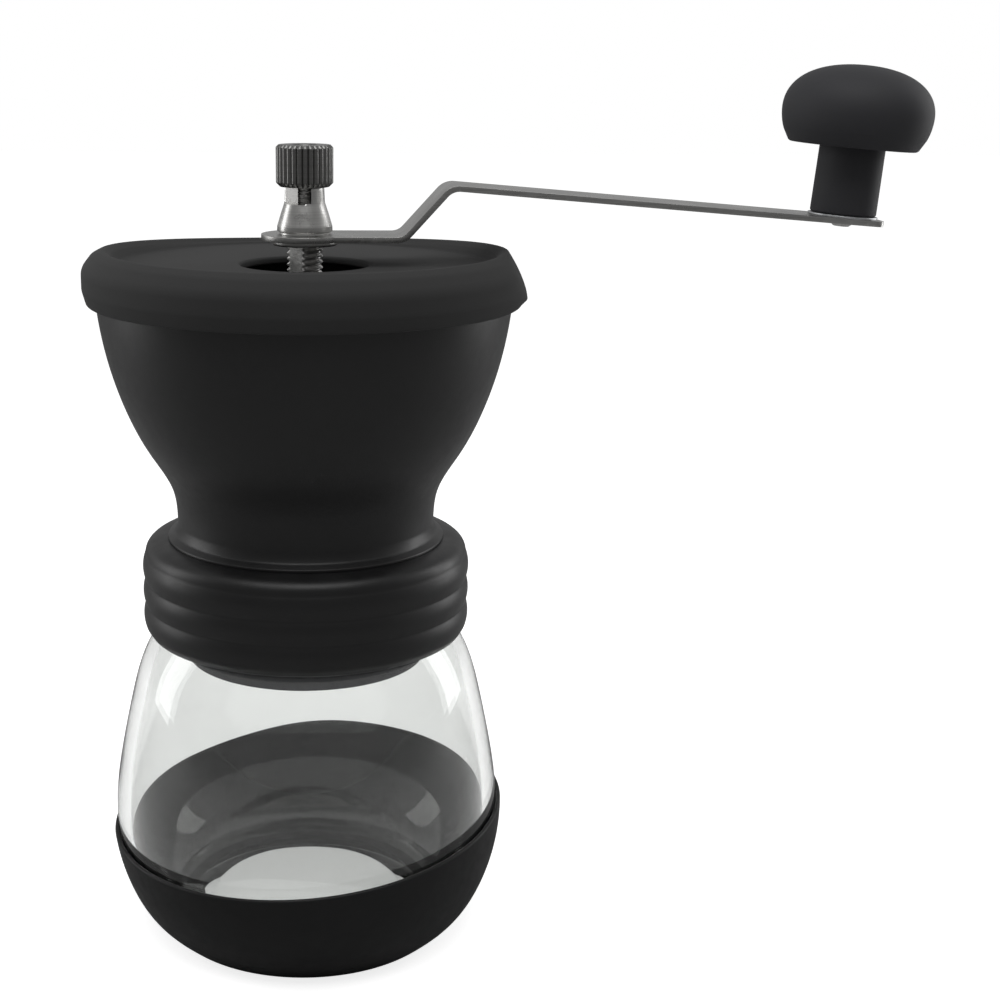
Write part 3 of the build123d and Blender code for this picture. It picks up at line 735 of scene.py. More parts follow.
class GRINDER_OT_collar(bpy.types.Operator):
    """Ribbed screw collar and the rubber seal under its roof"""

    bl_idname = "grinder.collar"
    bl_label = "Collar and seal"

    def execute(self, context):
        low, top = foot_of("screw_collar"), top_of("screw_collar")
        rib_height = context.scene.grinder_sizes.rib_height / MM
        mouth = rounded([
            (COLLAR_BORE, COLLAR_ROOF, 0), (COLLAR_BORE, low + 1.2, 0.6), (COLLAR_BORE + 1.0, low, 0.5),
            (COLLAR_RADIUS - 0.9, low, 0.7), (COLLAR_RADIUS, RIBS_BOTTOM, 0.3),
            (COLLAR_RADIUS, RIBS_BOTTOM + 0.4, 0),
        ], 4, closed=False)
        rib_z = np.linspace(0, RIBS * RIB_PITCH, 60)
        ribs = np.stack([
            COLLAR_RADIUS + rib_height * np.abs(np.sin(math.pi * rib_z / RIB_PITCH)) ** 0.75,
            RIBS_BOTTOM + rib_z,
        ], axis=1)
        shoulder = spline([
            (COLLAR_RADIUS + 0.02, RIBS_BOTTOM + RIBS * RIB_PITCH), (COLLAR_RADIUS - 0.25, 92.3),
            (COLLAR_RADIUS - 1.3, 93.6), (COLLAR_RADIUS - 3.1, top - 0.25), (COLLAR_RADIUS - 5.0, top),
        ], 16)
        roof = rounded([
            (COLLAR_RADIUS - 5.2, top, 0), (COLLAR_HOLE, top, 0.3), (COLLAR_HOLE, COLLAR_ROOF, 0.3),
            (COLLAR_BORE, COLLAR_ROOF, 0),
        ], 4, closed=False)
        outline = np.concatenate([dense(mouth[:-1], 0.35), ribs, shoulder[1:], roof[1:-1]])

        def ridge(angle, r, z):
            inside = (r < COLLAR_BORE + 0.05) & (r > COLLAR_BORE - 0.5) & (z < COLLAR_ROOF - 1)
            start = THREAD_START - THREAD_LEAD / 2
            return r - inside * RIDGE_HEIGHT * screw_ridge(angle, z, start, COLLAR_THREAD_TURNS), z

        turned_piece(
            "collar_shell", outline, 200, "hopper_plastic", "screw_collar", ridge,
        )

        seal_low, seal_top = foot_of("jar_seal"), top_of("jar_seal")
        seal_out = span("jar_seal")[1][0]
        seal = hoop(NECK_BORE + 0.1, seal_out, seal_low, seal_top, (0.3, 0.4, 0.6, 0.6), 5)
        turned_piece("seal_ring", seal, 128, "seal_rubber", "jar_seal")
        return {"FINISHED"}


class GRINDER_OT_hopper(bpy.types.Operator):
    """Flared bean hopper with its neck and the spigot that reaches into the jar"""

    bl_idname = "grinder.hopper"
    bl_label = "Hopper"

    def execute(self, context):
        low, top = foot_of("hopper"), top_of("hopper")
        collar_top = top_of("screw_collar")
        skin = spline(HOPPER_SKIN, 90)
        lining = beside(skin, HOPPER_WALL)
        above = lining[lining[:, 1] > 102.5]
        rim_in = (skin[-1][0] - HOPPER_WALL, top)
        corners = [(*skin[-2], 0), (skin[-1][0], top, 0.7), (*rim_in, 0.7), (*above[-3], 0)]
        rim = rounded(corners, 5, closed=False)
        inside = rounded([
            (*above[0], 0), (26.6, 101.0, 2.0), (26.6, 96.0, 0.2), (25.0, 96.0, 0.3), (25.0, 86.0, 0.5),
            (23.0, 84.0, 0.5), (19.6, 84.0, 0.3), (19.6, low, 0.3), (28.3, low, 0.4),
            (28.3, collar_top, 0.1), (31.4, collar_top, 0.1), (31.4, collar_top + 0.6, 0.3),
            (29.9, 96.1, 1.2), (*skin[1], 0),
        ], 5, closed=False)
        outline = np.concatenate([skin[1:-2], rim[1:-1], above[:-3][::-1], inside[1:-1]])
        turned_piece(
            "hopper_bowl", outline, 192, "hopper_plastic", "hopper", sharp=30,
        )
        return {"FINISHED"}


# Lid

LID_RADIUS = 48.8
LID_HOLE = 14.2
LID_PANEL = 156.4
LIP_SLOPE_IN = 4.6
LIP_SLOPE_CURVE = 1.5
RIM_SAG = 2.4
RIM_SAG_HALF_ARC = 1.75
LID_PANEL_THICKNESS = 1.7
LID_RIM_INNER = 41.6
LID_PLUG = 43.5
LIP_TURN = math.radians(-2.0)
LIP_HALF_ARC = math.radians(30.0)


class GRINDER_OT_lid(bpy.types.Operator):
    """Soft lid with a rolled rim, a hole for the shaft and a lift lip"""

    bl_idname = "grinder.lid"
    bl_label = "Lid"

    def execute(self, context):
        low, top = foot_of("hopper_lid"), top_of("hopper_lid")
        seat = HOPPER_SKIN[-1][0] + 0.4
        under = LID_PANEL - LID_PANEL_THICKNESS
        outline = dense(rounded([
            (seat, low, 0.5), (seat, under, 0.6), (LID_PLUG, under, 0.3), (LID_PLUG, under - 3.4, 0.6),
            (LID_PLUG - 1.4, under - 3.4, 0.6), (LID_PLUG - 1.4, under, 0.5), (LID_HOLE, under, 0.5),
            (LID_HOLE, LID_PANEL, 0.7), (LID_RIM_INNER - 0.6, LID_PANEL, 1.0),
            (LID_RIM_INNER + 0.7, top - 1.3, 1.5), (LID_RIM_INNER + 2.4, top + 0.1, 1.6),
            (LID_RADIUS - 2.2, top - 1.3, 2.6), (LID_RADIUS, top - 4.2, 4.0),
            (LID_RADIUS, low + 3.2, 4.0), (LID_RADIUS - 0.9, low, 0.9),
        ], 7), 1.5)
        reach = context.scene.grinder_sizes.lip_reach / MM
        tip = low + 1.4

        def lift_lip(angle, r, z):
            arc = np.minimum(1, 1.5 * bulge(apart(angle, LIP_TURN), 0.0, LIP_HALF_ARC))
            up = np.clip((z - tip) / (top - tip), 0, 1)
            slope = LID_RADIUS + reach - LIP_SLOPE_IN * up ** LIP_SLOPE_CURVE
            outside = ease(r, LID_RADIUS - 1.2, LID_RADIUS - 0.5)
            leaning = np.where(z > tip, np.minimum(r, slope) + outside * np.maximum(0, slope - r), r)
            back = bulge(apart(angle, math.pi / 2), 0.0, RIM_SAG_HALF_ARC)
            return r + arc * (leaning - r), z - RIM_SAG * back * ease(z, LID_PANEL + 0.1, top - 0.6)

        turned_piece(
            "lid_disc", outline, 240, "lid_rubber", "hopper_lid", lift_lip,
        )
        return {"FINISHED"}


# Shaft and what turns with it

SHAFT_RADIUS = 4.0
FLAT_HALF_WIDTH = 2.83
FLAT_TURN = math.radians(43.0)
RUNNING_GAP = 0.05
FLATS_BOTTOM = 119.6
SHOULDER = 164.9
STUD_RADIUS = 2.45
TAIL_RADIUS = 2.95
TAIL_TOP = 67.3
SHAFT_PITCH = 1.25
STUD_PITCH = 0.8
TAIL_PITCH = 1.0


def double_d(angle, r, gap=0.0):
    """Radius held within two flats: the lesser of r and half width over |cos| of the angle
    from a flat's normal."""
    return np.minimum(r, (FLAT_HALF_WIDTH + gap) / np.maximum(np.abs(np.cos(angle - FLAT_TURN)), 1e-6))


def screw_groove(angle, z, pitch, low, high):
    """Depth, 0 to 1, of a V groove that climbs one pitch a turn between two heights."""
    phase = (z / pitch - angle / TURN) % 1.0
    return np.abs(2 * phase - 1) ** 1.2 * ease(z, low, low + 0.6) * (1 - ease(z, high - 0.4, high))


def keyed(angle, r, z):
    """Double-D bore: only the bore's own radius is held within the flats."""
    return np.where(r < SHAFT_RADIUS + 0.5, double_d(angle, r, RUNNING_GAP), r), z


class GRINDER_OT_shaft(bpy.types.Operator):
    """Threaded shaft with two milled flats, a stud above and a tail below"""

    bl_idname = "grinder.shaft"
    bl_label = "Shaft"

    def execute(self, context):
        low, top = foot_of("drive_shaft"), top_of("drive_shaft")
        outline = rounded([
            (0, low, 0), (TAIL_RADIUS - 0.5, low, 0.1), (TAIL_RADIUS, low + 0.5, 0.1),
            (TAIL_RADIUS, TAIL_TOP, 0.1),
            (SHAFT_RADIUS, TAIL_TOP, 0.3), (SHAFT_RADIUS, FLATS_BOTTOM - 0.05, 0),
            (SHAFT_RADIUS, FLATS_BOTTOM + 0.05, 0), (SHAFT_RADIUS, SHOULDER, 0.3),
            (STUD_RADIUS, SHOULDER, 0.1),
            (STUD_RADIUS, top - 0.5, 0.1), (STUD_RADIUS - 0.5, top, 0.1), (0, top, 0),
        ], 3, closed=False)
        outline = dense(outline, 0.21)

        def cut(angle, r, z):
            main = screw_groove(angle, z, SHAFT_PITCH, FLATS_BOTTOM, SHOULDER - 0.2)
            stud = screw_groove(angle, z, STUD_PITCH, SHOULDER + 0.4, top - 0.3) * (z > SHOULDER)
            tail = screw_groove(angle, z, TAIL_PITCH, low + 0.2, TAIL_TOP - 0.6) * (z < TAIL_TOP)
            side = (r > STUD_RADIUS - 0.3) & (np.abs(z - SHOULDER) > 0.25)
            r = r - side * (0.6 * main * (z < SHOULDER) + 0.42 * stud + 0.5 * tail)
            milled = (z > FLATS_BOTTOM) & (z < SHOULDER + 0.01)
            return np.where(milled, double_d(angle, r), r), z

        grid = turned(outline, 96, cut)
        make_piece(
            "shaft_rod", [(grid, True, False)], finish_of("thread_steel"), "shaft",
            ["drive_shaft"], 30,
        )
        return {"FINISHED"}


ADJUSTER_RADIUS = 10.5
SCALLOPS = 12
SCALLOP_CENTRE = 11.1
SCALLOP_RADIUS = 1.5


class GRINDER_OT_adjuster(bpy.types.Operator):
    """Scalloped nut that sets the grind, and the slip washer beside it"""

    bl_idname = "grinder.adjuster"
    bl_label = "Grind adjuster"

    def execute(self, context):
        low, top = foot_of("adjusting_nut"), top_of("adjusting_nut")
        bore = SHAFT_RADIUS + RUNNING_GAP
        outline = dense(rounded([
            (bore, low, 0.4), (ADJUSTER_RADIUS, low, 0.8), (ADJUSTER_RADIUS, top, 0.8), (7.0, top, 0.3),
            (6.6, top - 0.5, 0.3), (bore, top - 0.5, 0.3),
        ], 5), 1.0)

        def scallop(angle, r, z):
            step = TURN / SCALLOPS
            away = (angle + step / 2) % step - step / 2
            across = SCALLOP_CENTRE * np.sin(away)
            inside = np.maximum(SCALLOP_RADIUS ** 2 - across ** 2, 0)
            notch = np.where(inside > 0, SCALLOP_CENTRE * np.cos(away) - np.sqrt(inside), 99.0)
            inset = ADJUSTER_RADIUS - r
            return np.where(r > ADJUSTER_RADIUS - 1.2, np.minimum(r, notch - 0.6 * inset), r), z

        turned_piece(
            "grind_nut", outline, 288, "inner_plastic", "adjusting_nut", scallop,
        )
        low, top = foot_of("thrust_washer"), top_of("thrust_washer")
        reach = span("thrust_washer")[1][0]
        ring = hoop(bore, reach, low, top, (0.2, 0.2, 0.2, 0.2), 3)
        turned_piece("slip_washer", ring, 96, "zinc_plate", "thrust_washer")
        return {"FINISHED"}


# Burrs

CONE_BOTTOM = 67.3
CONE_TOP = 87.5
CONE_FOOT = 16.7
CONE_HEAD = 8.0
BURR_GAP = 0.6
RING_RADIUS = 19.0
RING_SEAT = 69.0
RING_TOP = 85.0
THROAT = 12.3
FINE_TOP = 73.5
CONE_FEEDERS = 10
CONE_TEETH = 40
RING_FEEDERS = 16
RING_TEETH = 48


def flutes(angle, z, count, twist, low, high):
    """Depth, 0 to 1, of slanting saw-tooth flutes between two heights."""
    saw = (count * (angle / TURN + twist * z)) % 1.0
    ends = ease(z, low, low + 1.0) * (1 - ease(z, high - 0.8, high))
    return (1 - saw) ** 1.3 * ease(saw, 0.0, 0.12) * ends


class GRINDER_OT_burrs(bpy.types.Operator):
    """Fluted ceramic cone and the fluted ring round it"""

    bl_idname = "grinder.burrs"
    bl_label = "Burrs"

    def execute(self, context):
        bore = SHAFT_RADIUS + RUNNING_GAP
        cone = dense(rounded([
            (bore, CONE_BOTTOM, 0.3), (CONE_FOOT - 0.6, CONE_BOTTOM, 0.3),
            (CONE_FOOT, CONE_BOTTOM + 1.0, 0.3),
            (CONE_HEAD, CONE_TOP - 1.0, 0.6), (CONE_HEAD - 1.2, CONE_TOP, 0.4), (bore, CONE_TOP, 0.3),
        ], 4), 0.5)

        def cut_cone(angle, r, z):
            side = r > bore + 2.0
            coarse = 2.6 * flutes(angle, z, CONE_FEEDERS, 0.006, FINE_TOP - 1.0, CONE_TOP + 0.3)
            fine = 0.55 * flutes(angle, z, CONE_TEETH, 0.004, CONE_BOTTOM + 0.4, FINE_TOP)
            return np.where(side, np.maximum(r - coarse - fine, bore + 1.2), r), z

        turned_piece(
            "burr_cone", cone, 480, "burr_ceramic", "inner_burr", cut_cone, sharp=30,
        )

        ring = dense(rounded([
            (CONE_FOOT + BURR_GAP, RING_SEAT, 0.2), (RING_RADIUS, RING_SEAT, 0.4),
            (RING_RADIUS, RING_TOP, 0.5),
            (RING_RADIUS - 2.0, RING_TOP, 0.3), (THROAT, RING_TOP - 5.0, 0.4),
        ], 4), 0.5)

        def cut_ring(angle, r, z):
            inside = (r < RING_RADIUS - 1.6) & (z < RING_TOP - 3.0)
            coarse = 1.6 * flutes(angle, z, RING_FEEDERS, -0.005, FINE_TOP - 1.0, RING_TOP - 3.5)
            fine = 0.5 * flutes(angle, z, RING_TEETH, -0.004, RING_SEAT - 0.8, FINE_TOP)
            return np.where(inside, np.minimum(r + coarse + fine, RING_RADIUS - 1.0), r), z

        turned_piece(
            "burr_ring", ring, 480, "burr_ceramic", "outer_burr", cut_ring, sharp=30,
        )
        return {"FINISHED"}


# Crank

ARM_HALF_WIDTH = 7.5
ARM_THICKNESS = 1.25
EYE_RADIUS = 9.6
EYE_PATCH = 12.0
ARM_BEND = 4.0
ARM_SLOPE = math.radians(4.6)
ARM_RISE_START = 21.4
ARM_RISE_END = 31.6
ARM_SHOULDER = 173.5
ARM_LENGTH = 128.4
ARM_CORNER = 3.0
ARM_EDGE = 0.28
ARM_COLUMNS = 15
ARM_ROW_STEP = 1.5


def arm_path():
    """Centre line of the arm in the XZ plane: three straight runs with round bends."""
    middle = foot_of("crank_arm") + ARM_THICKNESS / 2
    tip = ARM_SHOULDER - (ARM_LENGTH - ARM_RISE_END) * math.tan(ARM_SLOPE)
    return rounded([
        (0, middle, 0), (ARM_RISE_START, middle, ARM_BEND), (ARM_RISE_END, ARM_SHOULDER, ARM_BEND),
        (ARM_LENGTH, tip, 0),
    ], 10, closed=False)


def bent(flat):
    """Carries flat points (s, y) to the arm: s is walked along the centre line, y stays."""
    path = arm_path()
    walked = np.concatenate([[0.0], np.cumsum(np.linalg.norm(np.diff(path, axis=0), axis=1))])
    s, y = flat[..., 0], flat[..., 1]
    x = np.where(s < 0, s, np.interp(s, walked, path[:, 0]))
    return np.stack([x, y, np.interp(s, walked, path[:, 1])], axis=-1)


class GRINDER_OT_crank(bpy.types.Operator):
    """Bent steel strip with its eye, the plate under it and the slotted ferrule above it"""

    bl_idname = "grinder.crank"
    bl_label = "Crank"

    def execute(self, context):
        across = np.linspace(-1, 1, ARM_COLUMNS) * ARM_HALF_WIDTH
        path = arm_path()
        walked = np.concatenate([[0.0], np.cumsum(np.linalg.norm(np.diff(path, axis=0), axis=1))])
        reach = walked[-1]
        corner = ARM_CORNER
        stops = dense(np.stack([walked, 0 * walked], axis=1), ARM_ROW_STEP)[:, 0]
        stops = np.unique(np.concatenate([
            [EYE_PATCH], stops[(stops > EYE_PATCH + 0.2) & (stops < reach - corner)],
            reach - corner + corner * np.sin(np.linspace(0, 1, 9) * math.pi / 2),
        ]))
        pulled = np.clip((stops - (reach - corner)) / corner, 0, 1)
        half = ARM_HALF_WIDTH - corner * (1 - np.sqrt(1 - pulled ** 2))
        along = np.broadcast_to(stops[:, None], (len(stops), len(across)))
        strip = np.stack([along, half[:, None] * (across / ARM_HALF_WIDTH)[None]], axis=-1)

        seam = np.arctan2(across, EYE_PATCH)
        shoulder = math.asin(ARM_HALF_WIDTH / EYE_RADIUS)
        sides = np.linspace(seam[-1], shoulder, 8)[1:]
        rest = np.linspace(shoulder, TURN - shoulder, 72)[1:]
        angle = np.concatenate([seam, sides, rest, TURN - sides[::-1][1:]])
        edge = np.where(
            np.abs(angle) <= seam[-1] + 1e-9, EYE_PATCH / np.cos(angle),
            np.minimum(
                np.maximum(EYE_RADIUS, ARM_HALF_WIDTH / np.maximum(np.abs(np.sin(angle)), 1e-6)),
                np.where(np.cos(angle) > math.cos(shoulder) - 1e-9, 99.0, EYE_RADIUS),
            ),
        )
        bore = double_d(angle, np.full_like(angle, SHAFT_RADIUS + RUNNING_GAP), RUNNING_GAP)
        out = np.linspace(0, 1, 7)[:, None]
        radius = bore + out * (edge - bore)
        eye = np.stack([radius * np.cos(angle), radius * np.sin(angle)], axis=-1)
        shells = [(bent(strip), False, False), (bent(eye), False, True)]
        finish = finish_of("strip_steel")
        arm = make_piece("crank_strip", shells, finish, "crank", ["crank_arm"], 40)
        thick = arm.modifiers.new("thickness", "SOLIDIFY")
        thick.thickness = ARM_THICKNESS * MM
        thick.offset = 0.0
        thick.use_even_offset = True
        soft = arm.modifiers.new("eased_edges", "BEVEL")
        soft.width = ARM_EDGE * MM
        soft.segments = 3
        soft.limit_method = "ANGLE"
        soft.angle_limit = math.radians(50)

        bore = SHAFT_RADIUS + RUNNING_GAP
        low, top, edge = foot_of("hub_washer"), top_of("hub_washer"), span("hub_washer")[1][0]
        plate = hoop(bore, edge, low, top, (0.1, 0.4, 0.2, 0.1), 4)
        turned_piece("hub_plate", plate, 144, "lathe_steel", "hub_washer", keyed)

        low, top = foot_of("crank_ferrule"), top_of("crank_ferrule")
        hole = STUD_RADIUS + RUNNING_GAP
        cone = dense(rounded([
            (bore, low, 0.1), (5.7, low, 0.1), (5.6, low + 0.5, 0.15), (6.1, low + 0.7, 0.2),
            (6.05, low + 1.8, 0.4), (5.2, low + 4.6, 4.0), (4.45, top - 3.4, 4.0),
            (4.3, top, 0.25), (hole, top, 0.25), (hole, SHOULDER + 0.1, 0.1),
            (bore, SHOULDER + 0.1, 0.1),
        ], 4), 0.8)
        ferrule = turned_piece(
            "hub_ferrule", cone, 144, "lathe_steel", "crank_ferrule", keyed,
        )
        cut_slot(ferrule, top - 3.4, top)
        return {"FINISHED"}


SLOT_WIDTH = 2.9
SLOT_REACH = 8
SLOT_TURN = math.radians(-92.0)


def cut_slot(piece, low, top):
    """Takes a straight slot out of a piece: a box along the slot, subtracted and applied."""
    sides, ends = (-SLOT_WIDTH / 2, SLOT_WIDTH / 2), (-SLOT_REACH, SLOT_REACH)
    corners = np.array([(x, y, z) for x in ends for y in sides for z in (low, top + 2)])
    spin = np.array(Matrix.Rotation(SLOT_TURN, 3, "Z"))
    placed = corners @ spin.T * MM
    faces = [(0, 1, 3, 2), (4, 6, 7, 5), (0, 4, 5, 1), (2, 3, 7, 6), (0, 2, 6, 4), (1, 5, 7, 3)]
    mesh = bpy.data.meshes.new("slot_cutter")
    mesh.from_pydata(placed.tolist(), [], faces)
    cutter = bpy.data.objects.new("slot_cutter", mesh)
    bpy.context.scene.collection.objects.link(cutter)
    cut = piece.modifiers.new("slot", "BOOLEAN")
    cut.operation = "DIFFERENCE"
    cut.solver = "EXACT"
    cut.object = cutter
    bpy.context.view_layer.update()
    ready = piece.evaluated_get(bpy.context.evaluated_depsgraph_get())
    finished = bpy.data.meshes.new_from_object(ready)
    piece.modifiers.clear()
    old = piece.data
    piece.data = finished
    bpy.data.meshes.remove(old)
    bpy.data.objects.remove(cutter)
    bpy.data.meshes.remove(mesh)
    finished.name = piece.name
    finished.shade_smooth()
    finished.set_sharp_from_angle(angle=math.radians(35))


class GRINDER_OT_thumb_nut(bpy.types.Operator):
    """Straight-knurled nut on the stud"""

    bl_idname = "grinder.thumb_nut"
    bl_label = "Thumb nut"

    def execute(self, context):
        sizes = context.scene.grinder_sizes
        low, top, radius = foot_of("thumb_nut"), top_of("thumb_nut"), span("thumb_nut")[1][0]
        bore = STUD_RADIUS + RUNNING_GAP
        outline = dense(rounded([
            (bore + 0.4, low, 0), (radius - 0.9, low, 0.2), (radius, low + 0.9, 0.3),
            (radius, top - 0.6, 0.3), (radius - 0.6, top, 0.2), (bore + 0.4, top, 0.1),
            (bore, top - 0.4, 0.1), (bore, low + 0.4, 0.1),
        ], 4), 0.35)
        depth, count = sizes.knurl_depth / MM, sizes.knurls

        def knurl(angle, r, z):
            wave = np.abs(np.sin(angle * count / 2)) ** 0.7
            side = ease(r, radius - 0.95, radius - 0.35)
            return r - depth * (1 - wave) * side, z

        turned_piece(
            "knurled_nut", outline, count * 10, "knurl_steel", "thumb_nut", knurl, sharp=50,
        )
        return {"FINISHED"}


# Knob

KNOB_REACH = 120.5
STEM_RADIUS = 7.3
STEM_LENGTH = 15.4
CAP_RADIUS = 16.5
CAP_FOOT = 14.05
CAP_HEIGHT = 17.7
CAP_WAIST = 7.5
DOME_FULLNESS = 0.62
RIVET_RADIUS = 2.0
RIVET_REACH = 9.0
SPIGOT_RADIUS = 5.5
SPIGOT_LENGTH = 4.0


def knob_place():
    """4x4 array that carries the Z axis to the knob's: square to the outer arm, from the point
    on its upper face at the knob's reach."""
    up = np.array([math.sin(ARM_SLOPE), 0, math.cos(ARM_SLOPE)])
    side = np.array([math.cos(ARM_SLOPE), 0, -math.sin(ARM_SLOPE)])
    fall = (KNOB_REACH - ARM_RISE_END) * math.tan(ARM_SLOPE)
    base = np.array([KNOB_REACH, 0, ARM_SHOULDER - fall]) + ARM_THICKNESS / 2 * up
    place = np.eye(4)
    place[:3, 0], place[:3, 1], place[:3, 2], place[:3, 3] = side, np.array([0, 1, 0]), up, base
    return place


class GRINDER_OT_knob(bpy.types.Operator):
    """Domed cap and stem on their rivet and washer"""

    bl_idname = "grinder.knob"
    bl_label = "Knob"

    def execute(self, context):
        place = knob_place()
        plastic = finish_of("knob_plastic")
        waist, crown = STEM_LENGTH + CAP_WAIST, STEM_LENGTH + CAP_HEIGHT
        radius = ((CAP_RADIUS - CAP_FOOT) ** 2 + CAP_WAIST ** 2) / (2 * (CAP_RADIUS - CAP_FOOT))
        sweep = np.linspace(math.asin(CAP_WAIST / radius), 0, 14)
        flank = np.stack([
            CAP_RADIUS - radius + radius * np.cos(sweep), waist - radius * np.sin(sweep),
        ], axis=1)
        t = np.linspace(0, 1, 40)[:, None]
        ends = np.array([
            (CAP_RADIUS, waist), (CAP_RADIUS, waist + DOME_FULLNESS * (crown - waist)),
            (DOME_FULLNESS * CAP_RADIUS, crown), (0, crown),
        ])
        weights = ((1 - t) ** 3, 3 * t * (1 - t) ** 2, 3 * t * t * (1 - t), t ** 3)
        dome = sum(weight * end for weight, end in zip(weights, ends))
        under = rounded([
            (0, STEM_LENGTH + SPIGOT_LENGTH, 0), (SPIGOT_RADIUS, STEM_LENGTH + SPIGOT_LENGTH, 0.2),
            (SPIGOT_RADIUS, STEM_LENGTH, 0.3), (CAP_FOOT, STEM_LENGTH, 1.0), (*flank[5], 0),
        ], 6, closed=False)
        outline = np.concatenate([under[:-1], flank[5:-1], dome])

        def parting(angle, r, z):
            return r + 0.05 * bulge(z, waist - 0.3, 0.35) * (r > CAP_FOOT), z

        cap = turned(outline, 160, parting, place)
        make_piece(
            "knob_dome", [(cap, True, False)], plastic, "knob", ["knob_cap"], 50,
        )
        bore = RIVET_RADIUS + RUNNING_GAP
        well = RIVET_RADIUS + 1.6
        stem = rounded([
            (bore, 0.6, 0.1), (STEM_RADIUS, 0.6, 0.5), (STEM_RADIUS - 0.1, STEM_LENGTH, 0.2),
            (SPIGOT_RADIUS, STEM_LENGTH, 0.1), (SPIGOT_RADIUS, STEM_LENGTH + SPIGOT_LENGTH, 0.3),
            (well, STEM_LENGTH + SPIGOT_LENGTH, 0.2), (well, RIVET_REACH - 0.1, 0.2),
            (bore, RIVET_REACH - 0.1, 0.1),
        ], 5)
        turned_piece("knob_neck", stem, 128, "knob_plastic", "knob_stem", place=place)
        washer = hoop(RIVET_RADIUS, STEM_RADIUS + 0.4, 0.0, 0.5, (0.05, 0.15, 0.15, 0.05), 3)
        turned_piece(
            "knob_slip_ring", washer, 96, "zinc_plate", "knob_washer", place=place,
        )
        pin = rounded([
            (0, -ARM_THICKNESS - 1.0, 0), (1.7, -ARM_THICKNESS - 0.95, 0.6),
            (2.7, -ARM_THICKNESS - 0.1, 0.3), (2.65, -ARM_THICKNESS, 0.05),
            (RIVET_RADIUS, -ARM_THICKNESS, 0.05), (RIVET_RADIUS, RIVET_REACH, 0.05),
            (3.2, RIVET_REACH, 0.2), (3.2, RIVET_REACH + 1.4, 0.5), (0, RIVET_REACH + 1.4, 0),
        ], 4, closed=False)
        shells = [(turned(pin, 72, None, place), True, False)]
        finish = finish_of("lathe_steel")
        make_piece("knob_rivet", shells, finish, "crank", ["knob_pin"])
        return {"FINISHED"}


class GRINDER_OT_inside(bpy.types.Operator):
    """Finishes of the pieces inside the head whose CAD shape is kept"""

    bl_idname = "grinder.inside"
    bl_label = "Inside pieces"

    def execute(self, context):
        kept = [
            ("bearing_bridge", "inner_plastic", "inner_plastic"),
            ("burr_holder", "inner_plastic", "inner_plastic"),
            ("lower_bush", "bush_plastic", "bush"),
            ("upper_bush", "bush_plastic", "bush"),
            ("holder_screws", "zinc_plate", "zinc_steel"),
            ("lock_washer", "zinc_plate", "zinc_steel"),
            ("spring_seat", "zinc_plate", "zinc_steel"),
            ("burr_washer", "zinc_plate", "zinc_steel"),
            ("burr_nut", "zinc_plate", "zinc_steel"),
            ("burr_spring", "spring_wire", "spring_steel"),
        ]
        for node, finish, slot in kept:
            dress_node(node, finish_of(finish))
        return {"FINISHED"}


# Stage


def soft_light(name, place, aim, width, height, power):
    """A rectangular soft light at a place, turned to face its aim."""
    lamp = bpy.data.lights.new(name, "AREA")
    lamp.shape = "RECTANGLE"
    lamp.size, lamp.size_y = width, height
    lamp.energy = power
    holder = bpy.data.objects.new(name, lamp)
    holder.location = place
    holder.rotation_euler = (Vector(aim) - Vector(place)).to_track_quat("-Z", "Y").to_euler()
    bpy.context.scene.collection.objects.link(holder)
    return holder


def floor_finish():
    """Pale floor: what the eye sees directly or through glass is near white, with a faint soft
    shadow, and what glossy pieces mirror is dimmer, as on a matt paper floor."""
    material = bpy.data.materials.new("paper_floor")
    material.use_nodes = True
    tree = material.node_tree
    tree.nodes.clear()
    path = put(tree, "ShaderNodeLightPath").outputs
    seen = sums(tree, "MAXIMUM", path["Is Camera Ray"], path["Is Transmission Ray"])
    place = put(tree, "ShaderNodeTexCoord").outputs["Object"]
    tone = spread(tree, noise(tree, place, 60.0, 3.0, 0.5), 0.3, 0.7, 0.80, 0.83)
    matt = put(tree, "ShaderNodeBsdfDiffuse", {"Color": tone})
    glow = put(tree, "ShaderNodeEmission", {"Color": (1, 1, 1, 1), "Strength": 0.78})
    bright = put(tree, "ShaderNodeAddShader", {0: matt.outputs[0], 1: glow.outputs[0]})
    dim = put(tree, "ShaderNodeBsdfDiffuse", {"Color": (0.42, 0.42, 0.42, 1)})
    mix = put(tree, "ShaderNodeMixShader", {0: seen, 1: dim.outputs[0], 2: bright.outputs[0]})
    put(tree, "ShaderNodeOutputMaterial", {"Surface": mix.outputs[0]})
    return material


FLOOR_REACH = 3
FLOOR_ROWS = 13
SIDE_DISTANCE = 0.62
SIDE_HEIGHT = 0.22
SIDE_SIZE = (0.22, 0.5)
LEFT_TURN = -78
RIGHT_TURN = 66
TOP_SIZE = (0.7, 0.55)
ROOM_BEHIND_CAMERA = 0.22


